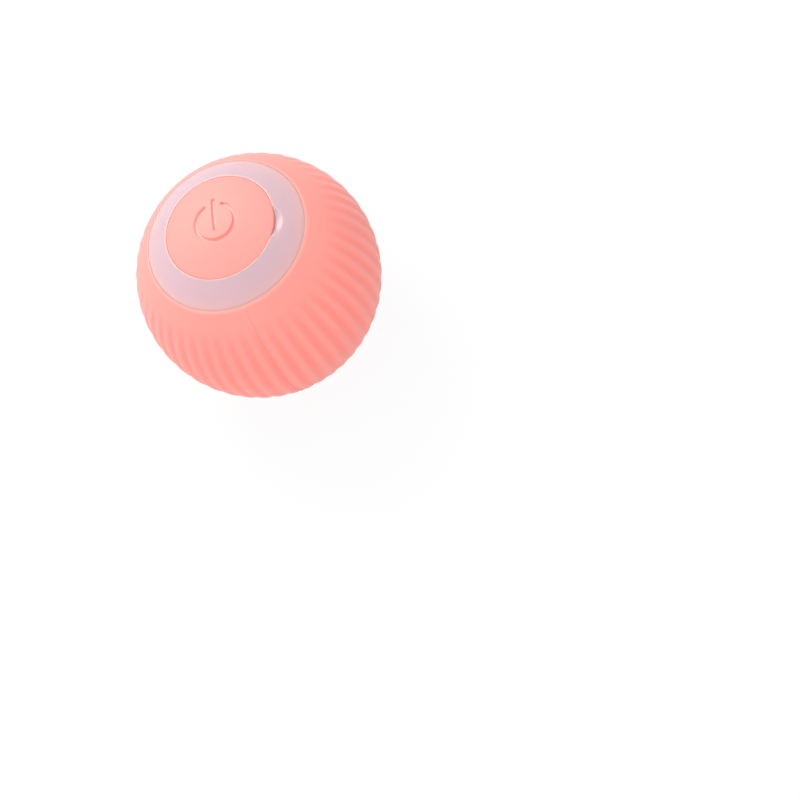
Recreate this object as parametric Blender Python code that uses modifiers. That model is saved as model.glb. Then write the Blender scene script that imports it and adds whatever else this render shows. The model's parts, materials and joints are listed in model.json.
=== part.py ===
"""A self rolling ball for a cat: a ribbed silicone sleeve round a two-piece shell,
with a motor and its gears hung inside on the shell's own axis.

The axis runs along Z. The power button is at the top, its bar points to +Y, and the
nail notch beside it is near +X. The origin is the centre of the ball. Sizes are metres.
"""

import math

import bmesh
import bpy
from mathutils import Matrix, Vector

# Ball and sleeve
BALL_DIAMETER = 0.043
SLEEVE_WALL = 0.0013
RIB_COUNT = 48
RIB_DEPTH = 0.0004
SMOOTH_BAND_ANGLE = math.radians(9)
RIB_FADE_ANGLE = math.radians(10)
SLEEVE_MOUTH_RADIUS = 0.0142
SLEEVE_LIP_ROUND = 0.00035
SEAM_BEARING = math.radians(-81)

# Clearances
SEAT_GAP = 0.0003
PIN_GAP = 0.00015
RUN_GAP = 0.0006

# Two-piece shell
SHELL_WALL = 0.0013
RING_SINK = 0.0002
LAP_LENGTH = 0.0015
LAP_WALL = 0.0005
POCKET_LEDGE = 0.0015
BUSH_WALL = 0.001
COLLAR_WALL = 0.001
COLLAR_DROP = 0.0028
NOTCH_BEARING = math.radians(-7)
NOTCH_WIDTH = 0.0059
NOTCH_REACH = 0.0009
NOTCH_DEPTH = 0.0012
NOTCH_SLOPE = 0.0009
REAR_BOSS_RADIUS = 0.0024
REAR_BOSS_HEIGHT = 0.002
REAR_FLOOR_DEPTH = 0.0003

# Button and its plug
CAP_WALL = 0.0008
CAP_EDGE_HEIGHT = 0.0010
CAP_EDGE_SINK = 0.00035
CAP_EDGE_ROUND = 0.0003
CAP_RIM_WALL = 0.0006
CAP_RIM_ROOM = 0.00035
BUTTON_TRAVEL = 0.00055
KEY_TRAVEL = 0.00025
PUSH_GAP = 0.00005
PUSHER_RADIUS = 0.0014
PUSHER_TIP_RADIUS = 0.0010
PLUG_FLANGE_HEIGHT = 0.0004
PLUG_SKIRT_WALL = 0.0006
PLUG_SKIRT_DROP = 0.0013

# Axle and gear train
AXLE_RADIUS = 0.0009
WASHER_HEIGHT = 0.0005
BUSH_FLANGE_HEIGHT = 0.0006
BUSH_FLANGE_RADIUS = 0.0026
BUSH_BODY_RADIUS = 0.0019
GEAR_TRAIN_MARGIN = 0.00121
WHEEL_TEETH = 30
PINION_TEETH = 10
TOOTH_SLACK = 0.00012
PRESSURE_ANGLE = math.radians(20)
TOOTH_TOP_SHARE = 0.9
TOOTH_ROOT_SHARE = 1.25
WHEEL_THICKNESS = 0.001
PLANE_GAP = 0.0005
HUB_RADIUS = 0.0018
GEAR_2_BEARING = math.radians(150)
GEAR_1_BEARING = math.radians(210)
MOTOR_BEARING = math.radians(270)
ARBOR_RADIUS = 0.0004
SPACER_RADIUS = 0.001
WHEEL_RECESS_DEPTH = 0.00025
WHEEL_RIM_WIDTH = 0.0007

# Carriage
PLATE_THICKNESS = 0.001
POST_RADIUS = 0.0013
POST_MARGIN = 0.00115
POST_BEARINGS = (math.radians(90), math.radians(5), math.radians(-55))
COLUMN_RADIUS = 0.0014
COLUMN_INSET = 0.0046
COLUMN_BEARINGS = (math.radians(90), math.radians(210), math.radians(330))
SCREW_RADIUS = 0.0005
SCREW_HEAD_RADIUS = 0.0011
SCREW_HEAD_HEIGHT = 0.0006
SCREW_DRIVE_RADIUS = 0.0005
SCREW_DRIVE_DEPTH = 0.0003
COLUMN_SCREW_DEPTH = 0.005

# Motor, battery and weight
MOTOR_RADIUS = 0.004
MOTOR_ROUND = 0.0004
MOTOR_NOSE_RADIUS = 0.0014
MOTOR_SHAFT_RADIUS = 0.0005
MOTOR_FLAT_SHARE = 0.82
SHAFT_DEPTH_SHARE = 0.25
END_BELL_STEP = 0.0004
END_BELL_HEIGHT = 0.0015
SEAT_WALL = 0.0008
SEAT_HEIGHT = 0.002
BATTERY_WIDTH = 0.016
BATTERY_THICKNESS = 0.0044
BATTERY_DROP = 0.0003
BATTERY_ROUND = 0.0005
BATTERY_OFFSET = 0.0009
WEIGHT_DROP = 0.002
WEIGHT_HALF_ANGLE = math.radians(55)
WEIGHT_SCREW_ANGLE = math.radians(38)
WEIGHT_BEARING = math.radians(270)
LEAD_RADIUS = 0.0003
LEAD_BOW_SHARE = 0.09
LEAD_SPREAD = 0.0022

# Board and port
BOARD_THICKNESS = 0.001
BOARD_RISE = 0.0013
BOARD_MARGIN = 0.0019
SOCKET_WIDTH = 0.00894
SOCKET_DEPTH = 0.00326
SOCKET_HEIGHT = 0.0082
SOCKET_WALL = 0.0003
SOCKET_BASE = 0.001
SOCKET_TO_KEY = 0.00042
TONGUE_SIDE_ROOM = 0.00112
TONGUE_THICKNESS = 0.0007
TONGUE_SINK = 0.0006
SWITCH_WIDTH = 0.0032
SWITCH_DEPTH = 0.0026
SWITCH_HEIGHT = 0.0016
SWITCH_NUB_RADIUS = 0.0007
SWITCH_NUB_HEIGHT = 0.0003
LED_WIDTH = 0.002
LED_DEPTH = 0.00125
LED_HEIGHT = 0.0008
LED_INSET = 0.0021
LED_BEARINGS = (math.radians(38), math.radians(142), math.radians(238), math.radians(302))
CHIP_WIDTH = 0.004
CHIP_HEIGHT = 0.0009
CHIP_INSET = 0.003
CHIP_BEARING = math.radians(180)
CHARGER_WIDTH = 0.0029
CHARGER_DEPTH = 0.0016
CHARGER_BEARING = math.radians(62)
SENSOR_RADIUS = 0.0016
SENSOR_HEIGHT = 0.0021
SENSOR_BEARING = math.radians(0)

# Hub of the carriage
HUB_TUBE_WALL = 0.0006
PORT_PLATE_THICKNESS = 0.0008
PORT_PLATE_SINK = 0.0007
THRUST_REACH = 0.001
THRUST_HEIGHT = 0.0007
EAR_RADIUS = 0.0019
EAR_OVERLAP = 0.0008
KEY_RADIUS = 0.00095
KEY_FLANGE_REACH = 0.0001
KEY_FLANGE_HEIGHT = 0.0006
KEY_STAND = 0.0004
BUSH_HEIGHT = 0.0012

# Facets and cut overrun
SHELL_FACETS = 36
SLEEVE_FACETS_PER_RIB = 3
SEAT_FACETS = 24
SMALL_FACETS = 16
PIN_FACETS = 12
SCREW_FACETS = 8
OVERRUN = 0.0005
MERGE_DISTANCE = 0.000001
MERGE_ANGLE = math.radians(0.5)

def on_sphere(radius, across):
    """Height at which a sphere round the origin is this far from the axis."""
    return math.sqrt(radius * radius - across * across)


def inside_radius(height):
    """How far a carriage piece may reach from the axis at this height."""
    return on_sphere(CAVITY_RADIUS, height) - RUN_GAP


def polar(distance, bearing):
    return distance * math.cos(bearing), distance * math.sin(bearing)


# The shell, from the outside in
BALL_RADIUS = BALL_DIAMETER / 2
SLEEVE_INSIDE = BALL_RADIUS - SLEEVE_WALL
SHELL_OUTSIDE = SLEEVE_INSIDE - SEAT_GAP
CAVITY_RADIUS = SHELL_OUTSIDE - SHELL_WALL
RING_RADIUS = BALL_RADIUS - RING_SINK
RING_EDGE = SLEEVE_MOUTH_RADIUS - SEAT_GAP
LIP_ANGLE = math.asin((SLEEVE_MOUTH_RADIUS + 2 * SLEEVE_LIP_ROUND) / BALL_RADIUS)
RIB_START_ANGLE = LIP_ANGLE + SMOOTH_BAND_ANGLE

# The hub goes round the charging socket, the bush round the hub, the well round the bush
KEY_FLANGE_RADIUS = SWITCH_DEPTH / 2 + KEY_FLANGE_REACH
SOCKET_OFFSET = KEY_FLANGE_RADIUS + SOCKET_TO_KEY + SOCKET_DEPTH / 2
SOCKET_REACH = math.hypot((SOCKET_WIDTH - SOCKET_DEPTH) / 2, SOCKET_OFFSET) + SOCKET_DEPTH / 2
TONGUE_WIDTH = SOCKET_WIDTH - 2 * TONGUE_SIDE_ROOM
HUB_TUBE_RADIUS = SOCKET_REACH + SEAT_GAP + HUB_TUBE_WALL
THRUST_RADIUS = HUB_TUBE_RADIUS + THRUST_REACH
BUSH_BORE_RADIUS = HUB_TUBE_RADIUS + 2 * PIN_GAP + BUSH_WALL
POCKET_RADIUS = BUSH_BORE_RADIUS + POCKET_LEDGE
CAP_RADIUS = POCKET_RADIUS - SEAT_GAP

# Heights from the button inwards
CAP_EDGE_TOP = on_sphere(BALL_RADIUS, CAP_RADIUS) - CAP_EDGE_SINK
CAP_RIM_FOOT = CAP_EDGE_TOP - CAP_EDGE_HEIGHT
POCKET_FLOOR = CAP_RIM_FOOT - BUTTON_TRAVEL - CAP_RIM_ROOM
COLLAR_FOOT = POCKET_FLOOR - COLLAR_DROP
BUSH_TOP = COLLAR_FOOT + BUSH_HEIGHT
THRUST_TOP = COLLAR_FOOT - SEAT_GAP
PORT_PLATE_TOP = POCKET_FLOOR - PORT_PLATE_SINK
PORT_PLATE_FOOT = PORT_PLATE_TOP - PORT_PLATE_THICKNESS
KEY_TOP = PORT_PLATE_TOP + KEY_STAND
PUSHER_TIP = KEY_TOP + BUTTON_TRAVEL - KEY_TRAVEL + PUSH_GAP
SOCKET_TOP = PORT_PLATE_TOP - PORT_PLATE_THICKNESS / 2
ON_BOARD = SOCKET_TOP - SOCKET_HEIGHT
DECK_TOP = ON_BOARD + PLATE_THICKNESS
SWITCH_TOP = ON_BOARD + SWITCH_HEIGHT + SWITCH_NUB_HEIGHT
KEY_FOOT = SWITCH_TOP + KEY_TRAVEL + PUSH_GAP
BOARD_TOP = ON_BOARD - SEAT_GAP
BOARD_FOOT = BOARD_TOP - BOARD_THICKNESS
END_BELL_TOP = BOARD_FOOT - BOARD_RISE
MOTOR_TOP = END_BELL_TOP - END_BELL_HEIGHT - SEAT_GAP
BATTERY_TOP = END_BELL_TOP - BATTERY_DROP
WEIGHT_TOP = MOTOR_TOP - WEIGHT_DROP

# Heights from the back of the shell inwards
REAR_BOSS_TOP = -CAVITY_RADIUS + REAR_BOSS_HEIGHT
AXLE_FOOT = -CAVITY_RADIUS - REAR_FLOOR_DEPTH + SEAT_GAP
WASHER_FOOT = REAR_BOSS_TOP + SEAT_GAP
WASHER_TOP = WASHER_FOOT + WASHER_HEIGHT
REAR_BUSH_FOOT = WASHER_TOP + SEAT_GAP
BASE_FOOT = REAR_BUSH_FOOT + BUSH_FLANGE_HEIGHT + SEAT_GAP
BASE_TOP = BASE_FOOT + PLATE_THICKNESS
OUTPUT_FOOT = BASE_TOP + SEAT_GAP
PLANE_STEP = WHEEL_THICKNESS + PLANE_GAP
PLANE_2_FOOT = OUTPUT_FOOT + PLANE_STEP
PLANE_1_FOOT = PLANE_2_FOOT + PLANE_STEP
AXLE_TOP = PLANE_2_FOOT - SEAT_GAP
COVER_FOOT = PLANE_1_FOOT + WHEEL_THICKNESS + SEAT_GAP
COVER_TOP = COVER_FOOT + PLATE_THICKNESS

# The motor, the battery and the weight stand on the cover. The motor is as long as the
# room between the gearbox and the board lets it be.
MOTOR_FOOT = COVER_TOP + SEAT_GAP
MOTOR_LENGTH = MOTOR_TOP - MOTOR_FOOT
SHAFT_TOP = MOTOR_FOOT + MOTOR_LENGTH * SHAFT_DEPTH_SHARE
END_BELL_RADIUS = MOTOR_RADIUS - END_BELL_STEP

# The gears fill the room in the shell at the plane of the second wheel
TRAIN_MODULES = (WHEEL_TEETH + PINION_TEETH) / 2 + WHEEL_TEETH / 2 + TOOTH_TOP_SHARE
GEAR_MODULE = (inside_radius(PLANE_2_FOOT) - GEAR_TRAIN_MARGIN) / TRAIN_MODULES
CENTRE_DISTANCE = GEAR_MODULE * (WHEEL_TEETH + PINION_TEETH) / 2
WHEEL_TIP_RADIUS = GEAR_MODULE * (WHEEL_TEETH / 2 + TOOTH_TOP_SHARE)
POST_CIRCLE = WHEEL_TIP_RADIUS + POST_MARGIN + POST_RADIUS
GEAR_2_PLACE = polar(CENTRE_DISTANCE, GEAR_2_BEARING)
GEAR_1_PLACE = polar(CENTRE_DISTANCE, GEAR_1_BEARING)
MOTOR_PLACE = polar(CENTRE_DISTANCE, MOTOR_BEARING)
SHAFT_BORE = AXLE_RADIUS + PIN_GAP
GEAR_BORE = ARBOR_RADIUS + PIN_GAP
SCREW_BORE = SCREW_RADIUS + PIN_GAP

# The weight lies between the motor's seat and the shell, the rest follows the board
MOTOR_SEAT_BORE = MOTOR_RADIUS + SEAT_GAP
WEIGHT_INSIDE = CENTRE_DISTANCE + MOTOR_SEAT_BORE + SEAT_WALL + SEAT_GAP
WEIGHT_OUTSIDE = inside_radius(MOTOR_FOOT) - SEAT_GAP
WEIGHT_CIRCLE = (WEIGHT_OUTSIDE + WEIGHT_INSIDE) / 2
BOARD_RADIUS = inside_radius(BOARD_TOP) - BOARD_MARGIN + RUN_GAP
LED_CIRCLE = BOARD_RADIUS - LED_INSET
CHIP_CIRCLE = BOARD_RADIUS - CHIP_INSET
COLUMN_CIRCLE = BOARD_RADIUS - COLUMN_INSET
DECK_RADIUS = COLUMN_CIRCLE - EAR_RADIUS + EAR_OVERLAP


# Scene, collections and materials


def clear_scene():
    for item in list(bpy.data.objects):
        bpy.data.objects.remove(item)


def new_collection(name):
    made = bpy.data.collections.new(name)
    bpy.context.scene.collection.children.link(made)
    return made


def finish(name, colour, roughness, metallic=0.0, transmission=0.0):
    made = bpy.data.materials.new(name)
    made.use_nodes = True
    made.diffuse_color = (*colour, 1.0)
    shader = made.node_tree.nodes["Principled BSDF"]
    shader.inputs["Base Color"].default_value = (*colour, 1.0)
    shader.inputs["Roughness"].default_value = roughness
    shader.inputs["Metallic"].default_value = metallic
    shader.inputs["Transmission Weight"].default_value = transmission
    return made


clear_scene()
PARTS = new_collection("self_rolling_cat_ball")
CUTTERS = new_collection("cutters")

CORAL = finish("coral_silicone", (1.0, 0.33, 0.27), 0.55)
MILKY = finish("milky_plastic", (0.86, 0.68, 0.72), 0.35, transmission=0.3)
NYLON = finish("white_nylon", (0.83, 0.82, 0.78), 0.45)
ACETAL = finish("black_acetal", (0.03, 0.03, 0.035), 0.4)
STEEL = finish("steel", (0.62, 0.62, 0.63), 0.3, metallic=1.0)
BRASS = finish("brass", (0.78, 0.58, 0.25), 0.3, metallic=1.0)
BOARD_GREEN = finish("green_board", (0.02, 0.22, 0.09), 0.4)
CHIP_BLACK = finish("black_chip", (0.02, 0.02, 0.02), 0.5)
FOIL = finish("battery_foil", (0.72, 0.73, 0.75), 0.35, metallic=1.0)
LAMP = finish("led_resin", (0.95, 0.88, 0.72), 0.25, transmission=0.4)
RED_LEAD = finish("red_insulation", (0.6, 0.03, 0.03), 0.5)
BLACK_LEAD = finish("black_insulation", (0.02, 0.02, 0.02), 0.5)


def axis_empty(name, place=(0, 0), parent=None):
    made = bpy.data.objects.new(name, None)
    made.location = (*place, 0)
    made.empty_display_size = BALL_RADIUS / 4
    if parent:
        made.parent = parent
        made.location = Vector((*place, 0)) - parent.location
    PARTS.objects.link(made)
    return made


SHELL = axis_empty("shell_axis")
CARRIAGE = axis_empty("carriage_axis", parent=SHELL)
CAP = axis_empty("cap_lift_axis", parent=SHELL)
BUTTON = axis_empty("button_press_axis", parent=CAP)
KEY = axis_empty("key_axis", parent=CARRIAGE)
ROTOR = axis_empty("motor_axis", MOTOR_PLACE, CARRIAGE)
GEAR_1 = axis_empty("gear_1_axis", GEAR_1_PLACE, CARRIAGE)
GEAR_2 = axis_empty("gear_2_axis", GEAR_2_PLACE, CARRIAGE)


# Shape makers


def add(name, data, material=None, parent=None, place=(0, 0), turn=0.0):
    """A new object at a place in the XY plane. With no material it is a cutter."""
    made = bpy.data.objects.new(name, data)
    made.rotation_euler.z = turn
    made.location = (*place, 0)
    if material is None:
        made.hide_render = True
        made.display_type = "WIRE"
        CUTTERS.objects.link(made)
        return made
    data.materials.append(material)
    made.parent = parent
    made.location = Vector((*place, 0)) - parent.matrix_world.translation
    PARTS.objects.link(made)
    return made


def turned(name, profile, material=None, parent=None, facets=SMALL_FACETS, place=(0, 0)):
    """A profile of (radius, height) points, turned about Z. It is closed unless it
    starts and ends on the axis."""
    around = zip(profile, profile[1:] + profile[:1])
    if sum(a[0] * b[1] - b[0] * a[1] for a, b in around) > 0:
        profile = profile[::-1]
    on_axis = profile[0][0] == 0 and profile[-1][0] == 0
    edges = [(i, i + 1) for i in range(len(profile) - 1)]
    if not on_axis:
        edges.append((len(profile) - 1, 0))
    mesh = bpy.data.meshes.new(name)
    mesh.from_pydata([(across, 0, height) for across, height in profile], edges, [])
    made = add(name, mesh, material, parent, place)
    screw = made.modifiers.new("turn", "SCREW")
    screw.steps = facets
    screw.render_steps = facets
    screw.use_smooth_shade = True
    screw.use_merge_vertices = True
    screw.merge_threshold = MERGE_DISTANCE
    return made


def rod(name, radius, foot, top, material=None, parent=None, facets=SMALL_FACETS, place=(0, 0)):
    return turned(name, [(0, top), (radius, top), (radius, foot), (0, foot)],
                  material, parent, facets, place)


def ring(name, bore, radius, foot, top, material=None, parent=None, facets=SMALL_FACETS):
    return turned(name, [(bore, top), (radius, top), (radius, foot), (bore, foot)],
                  material, parent, facets)


def rods(name, places, radius, foot, top, facets=SMALL_FACETS):
    """Several upright rods in one helper, for one cut or one join."""
    shape = bmesh.new()
    for x, y in places:
        middle = Matrix.Translation((x, y, (foot + top) / 2))
        bmesh.ops.create_cone(shape, cap_ends=True, segments=facets, radius1=radius,
                              radius2=radius, depth=top - foot, matrix=middle)
    mesh = bpy.data.meshes.new(name)
    shape.to_mesh(mesh)
    shape.free()
    return add(name, mesh)


def block(name, size, centre, material=None, parent=None, turn=0.0, edge=0.0):
    """A box of this size whose centre is at (x, y, z), with bevelled edges if asked."""
    shape = bmesh.new()
    bmesh.ops.create_cube(shape, size=1)
    bmesh.ops.scale(shape, vec=size, verts=shape.verts)
    bmesh.ops.translate(shape, vec=(0, 0, centre[2]), verts=shape.verts)
    mesh = bpy.data.meshes.new(name)
    shape.to_mesh(mesh)
    shape.free()
    made = add(name, mesh, material, parent, centre[:2], turn)
    if edge:
        bevel = made.modifiers.new("edges", "BEVEL")
        bevel.width = edge
        bevel.segments = 1
    return made


def extruded(name, outline, foot, top, material=None, parent=None, place=(0, 0), turn=0.0):
    """A flat outline of (x, y) points, raised from one height to another."""
    shape = bmesh.new()
    face = shape.faces.new([shape.verts.new((x, y, foot)) for x, y in outline])
    raised = bmesh.ops.extrude_face_region(shape, geom=[face])["geom"]
    corners = [item for item in raised if isinstance(item, bmesh.types.BMVert)]
    bmesh.ops.translate(shape, vec=(0, 0, top - foot), verts=corners)
    bmesh.ops.recalc_face_normals(shape, faces=shape.faces)
    mesh = bpy.data.meshes.new(name)
    shape.to_mesh(mesh)
    shape.free()
    return add(name, mesh, material, parent, place, turn)


def boolean(target, helper, operation="DIFFERENCE"):
    made = target.modifiers.new(helper.name, "BOOLEAN")
    made.operation = operation
    made.solver = "EXACT"
    made.object = helper
    return target


def join(target, helper):
    return boolean(target, helper, "UNION")


def arc(radius, start, end, steps, middle=0.0):
    """Points on a circle round (0, middle), from one angle off the axis to another."""
    points = []
    for i in range(steps + 1):
        angle = start + (end - start) * i / steps
        points.append((radius * math.sin(angle), middle + radius * math.cos(angle)))
    return points


def slot_outline(width, depth, offset, steps=6):
    """A long slot with round ends, its middle moved along Y."""
    points = []
    for side in (1, -1):
        for i in range(steps + 1):
            angle = math.pi * (i / steps - 0.5)
            x = side * ((width - depth) / 2 + depth / 2 * math.cos(angle))
            points.append((x, offset + side * depth / 2 * math.sin(angle)))
    return points


def lead(name, route, material, parent):
    """An insulated wire along a smooth route of (x, y, z) points."""
    curve = bpy.data.curves.new(name, "CURVE")
    curve.dimensions = "3D"
    curve.bevel_depth = LEAD_RADIUS
    curve.bevel_resolution = 2
    curve.use_fill_caps = True
    spline = curve.splines.new("POLY")
    spline.points.add(len(route) - 1)
    for point, place in zip(spline.points, route):
        point.co = (*place, 1)
    return add(name, curve, material, parent)


# Outer shell


def rib_share(angle):
    """How much of the rib's depth there is at this angle from the button's axis.
    The ribs fade in below the smooth band, and out again the same way at the back."""
    from_band = min(angle, math.pi - angle) - RIB_START_ANGLE
    return 1 - math.exp(-from_band / RIB_FADE_ANGLE) if from_band > 0 else 0.0


def sleeve_angles():
    """Angles from the button's axis of the rows of points on the ribbed outside."""
    half_way = math.pi / 2
    rib_zone = half_way - RIB_START_ANGLE
    zone_shares = (0, 0.13, 0.32, 0.6, 1)
    front = [LIP_ANGLE] + [RIB_START_ANGLE + rib_zone * share for share in zone_shares]
    back = [math.pi - angle for angle in reversed(front[1:-1])]
    dome_shares = (0.25, 0.5, 0.75, 1)
    dome = [math.pi - RIB_START_ANGLE * (1 - share) for share in dome_shares]
    return front + back + dome


def silicone_sleeve():
    """The ribbed tyre. Its outside is spun as a smooth ball, the grooves between its
    ribs are drawn in towards the centre, and the space for the shell is cut from it.
    On the smooth dome at the back the points between two grooves are merged. It is
    turned so that the mould's parting line runs down the middle of a rib."""
    lip_edge = SLEEVE_MOUTH_RADIUS + SLEEVE_LIP_ROUND
    lip_height = on_sphere(BALL_RADIUS, lip_edge) - SLEEVE_LIP_ROUND / 2
    shape = bmesh.new()
    line = [shape.verts.new((0, 0, lip_height)), shape.verts.new((lip_edge, 0, lip_height))]
    for angle in sleeve_angles():
        across = max(BALL_RADIUS * math.sin(angle), 0)
        line.append(shape.verts.new((across, 0, BALL_RADIUS * math.cos(angle))))
    line[-1].co.x = 0
    for a, b in zip(line, line[1:]):
        shape.edges.new((a, b))
    bmesh.ops.spin(shape, geom=shape.verts[:] + shape.edges[:], axis=(0, 0, 1),
                   cent=(0, 0, 0), angle=math.tau, use_merge=True,
                   steps=RIB_COUNT * SLEEVE_FACETS_PER_RIB)
    column_angle = math.tau / (RIB_COUNT * SLEEVE_FACETS_PER_RIB)
    for vert in shape.verts:
        angle = vert.co.angle(Vector((0, 0, 1)))
        column = round(math.atan2(vert.co.y, vert.co.x) / column_angle)
        from_groove = (column + 1) % SLEEVE_FACETS_PER_RIB - 1
        if from_groove == 0 and vert.co.length > BALL_RADIUS - SLEEVE_LIP_ROUND / 2:
            vert.co -= vert.co.normalized() * RIB_DEPTH * rib_share(angle)
        if angle > math.pi - RIB_START_ANGLE + MERGE_ANGLE:
            vert.co = Matrix.Rotation(-from_groove * column_angle, 3, "Z") @ vert.co
    bmesh.ops.remove_doubles(shape, verts=shape.verts, dist=MERGE_DISTANCE)
    bmesh.ops.recalc_face_normals(shape, faces=shape.faces)
    mesh = bpy.data.meshes.new("silicone_sleeve")
    shape.to_mesh(mesh)
    shape.free()
    mesh.shade_smooth()
    made = add("silicone_sleeve", mesh, CORAL, SHELL, turn=SEAM_BEARING + math.pi / RIB_COUNT)

    mouth = math.asin(SLEEVE_MOUTH_RADIUS / SLEEVE_INSIDE)
    space = arc(SLEEVE_INSIDE, mouth, math.pi, 9)
    space[-1] = (0, -SLEEVE_INSIDE)
    space = [(0, BALL_RADIUS), (SLEEVE_MOUTH_RADIUS, BALL_RADIUS)] + space
    return boolean(made, turned("sleeve_space", space, facets=SHELL_FACETS))


def front_shell():
    """The front half: the milky ring, the pocket for the button, the bearing collar
    and the spigot that laps into the rear half."""
    pocket_edge = math.asin(POCKET_RADIUS / RING_RADIUS)
    ring_edge = math.asin(RING_EDGE / RING_RADIUS)
    step_edge = math.asin(RING_EDGE / SHELL_OUTSIDE)
    collar_radius = BUSH_BORE_RADIUS + COLLAR_WALL
    collar_edge = math.asin(collar_radius / CAVITY_RADIUS)
    quarter = math.pi / 2
    profile = [(BUSH_BORE_RADIUS, POCKET_FLOOR), (POCKET_RADIUS, POCKET_FLOOR)]
    profile += arc(RING_RADIUS, pocket_edge, ring_edge, 3)
    profile += arc(SHELL_OUTSIDE, step_edge, quarter, 4)
    profile += [(CAVITY_RADIUS + LAP_WALL, 0), (CAVITY_RADIUS + LAP_WALL, -LAP_LENGTH),
                (CAVITY_RADIUS, -LAP_LENGTH)]
    profile += arc(CAVITY_RADIUS, quarter, collar_edge, 4)
    profile += [(collar_radius, COLLAR_FOOT), (BUSH_BORE_RADIUS, COLLAR_FOOT)]
    made = turned("front_shell", profile, MILKY, SHELL, SHELL_FACETS)
    return boolean(made, nail_notch())


def nail_notch():
    """The scoop beside the button: a cone whose rim cuts a crescent from the ring."""
    half = NOTCH_WIDTH / 2
    reach = POCKET_RADIUS + NOTCH_REACH
    chord = on_sphere(POCKET_RADIUS, half)
    middle = (reach * reach - chord * chord - half * half) / (2 * (reach - chord))
    radius = reach - middle
    rim = on_sphere(RING_RADIUS, reach)
    top = on_sphere(RING_RADIUS, POCKET_RADIUS) + OVERRUN
    foot = rim - NOTCH_DEPTH
    slope = NOTCH_SLOPE / NOTCH_DEPTH
    profile = [(0, top), (radius + slope * (top - rim), top), (radius - NOTCH_SLOPE, foot), (0, foot)]
    return turned("notch_scoop", profile, facets=SHELL_FACETS, place=polar(middle, NOTCH_BEARING))


def rear_shell():
    """The rear half, with the lap for the spigot and the boss that holds the axle."""
    lap_floor = -LAP_LENGTH - SEAT_GAP
    lap_radius = CAVITY_RADIUS + LAP_WALL + SEAT_GAP
    quarter = math.pi / 2
    top = math.acos(-SEAT_GAP / SHELL_OUTSIDE)
    ledge = math.acos(lap_floor / CAVITY_RADIUS)
    boss_edge = math.pi - math.asin(REAR_BOSS_RADIUS / CAVITY_RADIUS)
    axle_bore = AXLE_RADIUS + PIN_GAP
    bore_floor = AXLE_FOOT - SEAT_GAP
    profile = arc(SHELL_OUTSIDE, top, math.pi, 6)
    profile[-1] = (0, -SHELL_OUTSIDE)
    profile += [(0, bore_floor), (axle_bore, bore_floor), (axle_bore, REAR_BOSS_TOP),
                (REAR_BOSS_RADIUS, REAR_BOSS_TOP)]
    profile += arc(CAVITY_RADIUS, boss_edge, ledge, 5)
    profile += [(lap_radius, lap_floor), (lap_radius, -SEAT_GAP)]
    made = turned("rear_shell", close_on_axis(profile), MILKY, SHELL, SHELL_FACETS)
    return made


def close_on_axis(profile):
    """The same closed profile, started so that its first and last points are the two
    that lie on the axis."""
    first = next(i for i, point in enumerate(profile) if point[0] == 0)
    return profile[first + 1:] + profile[:first + 1]


def shell_bearings():
    ring("front_bush", HUB_TUBE_RADIUS + PIN_GAP, BUSH_BORE_RADIUS - PIN_GAP,
         COLLAR_FOOT, BUSH_TOP, ACETAL, SHELL, SEAT_FACETS)
    rod("output_axle", AXLE_RADIUS, AXLE_FOOT, AXLE_TOP, STEEL, SHELL)
    ring("thrust_washer", SHAFT_BORE, REAR_BOSS_RADIUS, WASHER_FOOT, WASHER_TOP, BRASS, SHELL)


# Button and plug


def button_cap():
    """The silicone button: a dome with a rim that reaches down round the plug, and a
    pusher in the middle."""
    rise = BALL_RADIUS - CAP_EDGE_TOP
    crown = (CAP_RADIUS ** 2 + rise ** 2) / (2 * rise)
    middle = BALL_RADIUS - crown
    rim_inside = CAP_RADIUS - CAP_RIM_WALL
    inside = crown - CAP_WALL
    edge_angle = math.asin((CAP_RADIUS - CAP_EDGE_ROUND) / crown)
    inner_edge = math.asin(rim_inside / inside)
    pusher_edge = math.asin(PUSHER_RADIUS / inside)
    outer = arc(crown, 0, edge_angle, 4, middle)
    outer.append((CAP_RADIUS, CAP_EDGE_TOP - CAP_EDGE_ROUND))
    inner = arc(inside, inner_edge, pusher_edge, 3, middle)
    profile = outer + [(CAP_RADIUS, CAP_RIM_FOOT), (rim_inside, CAP_RIM_FOOT)] + inner
    profile += [(PUSHER_TIP_RADIUS, PUSHER_TIP), (0, PUSHER_TIP)]
    return turned("button_cap", profile, CORAL, BUTTON, SHELL_FACETS)


def cap_plug():
    """The stiff ring inside the button. Its skirt grips the well in the front shell."""
    flange_foot = POCKET_FLOOR + SEAT_GAP
    flange_top = flange_foot + PLUG_FLANGE_HEIGHT
    flange_radius = CAP_RADIUS - CAP_RIM_WALL - SEAT_GAP
    skirt_radius = BUSH_BORE_RADIUS - SEAT_GAP
    skirt_inside = skirt_radius - PLUG_SKIRT_WALL
    skirt_foot = POCKET_FLOOR - PLUG_SKIRT_DROP
    profile = [(skirt_inside, flange_top), (flange_radius, flange_top),
               (flange_radius, flange_foot), (skirt_radius, flange_foot),
               (skirt_radius, skirt_foot), (skirt_inside, skirt_foot)]
    return turned("cap_plug", profile, NYLON, CAP, SEAT_FACETS)


# Gear train


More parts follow.
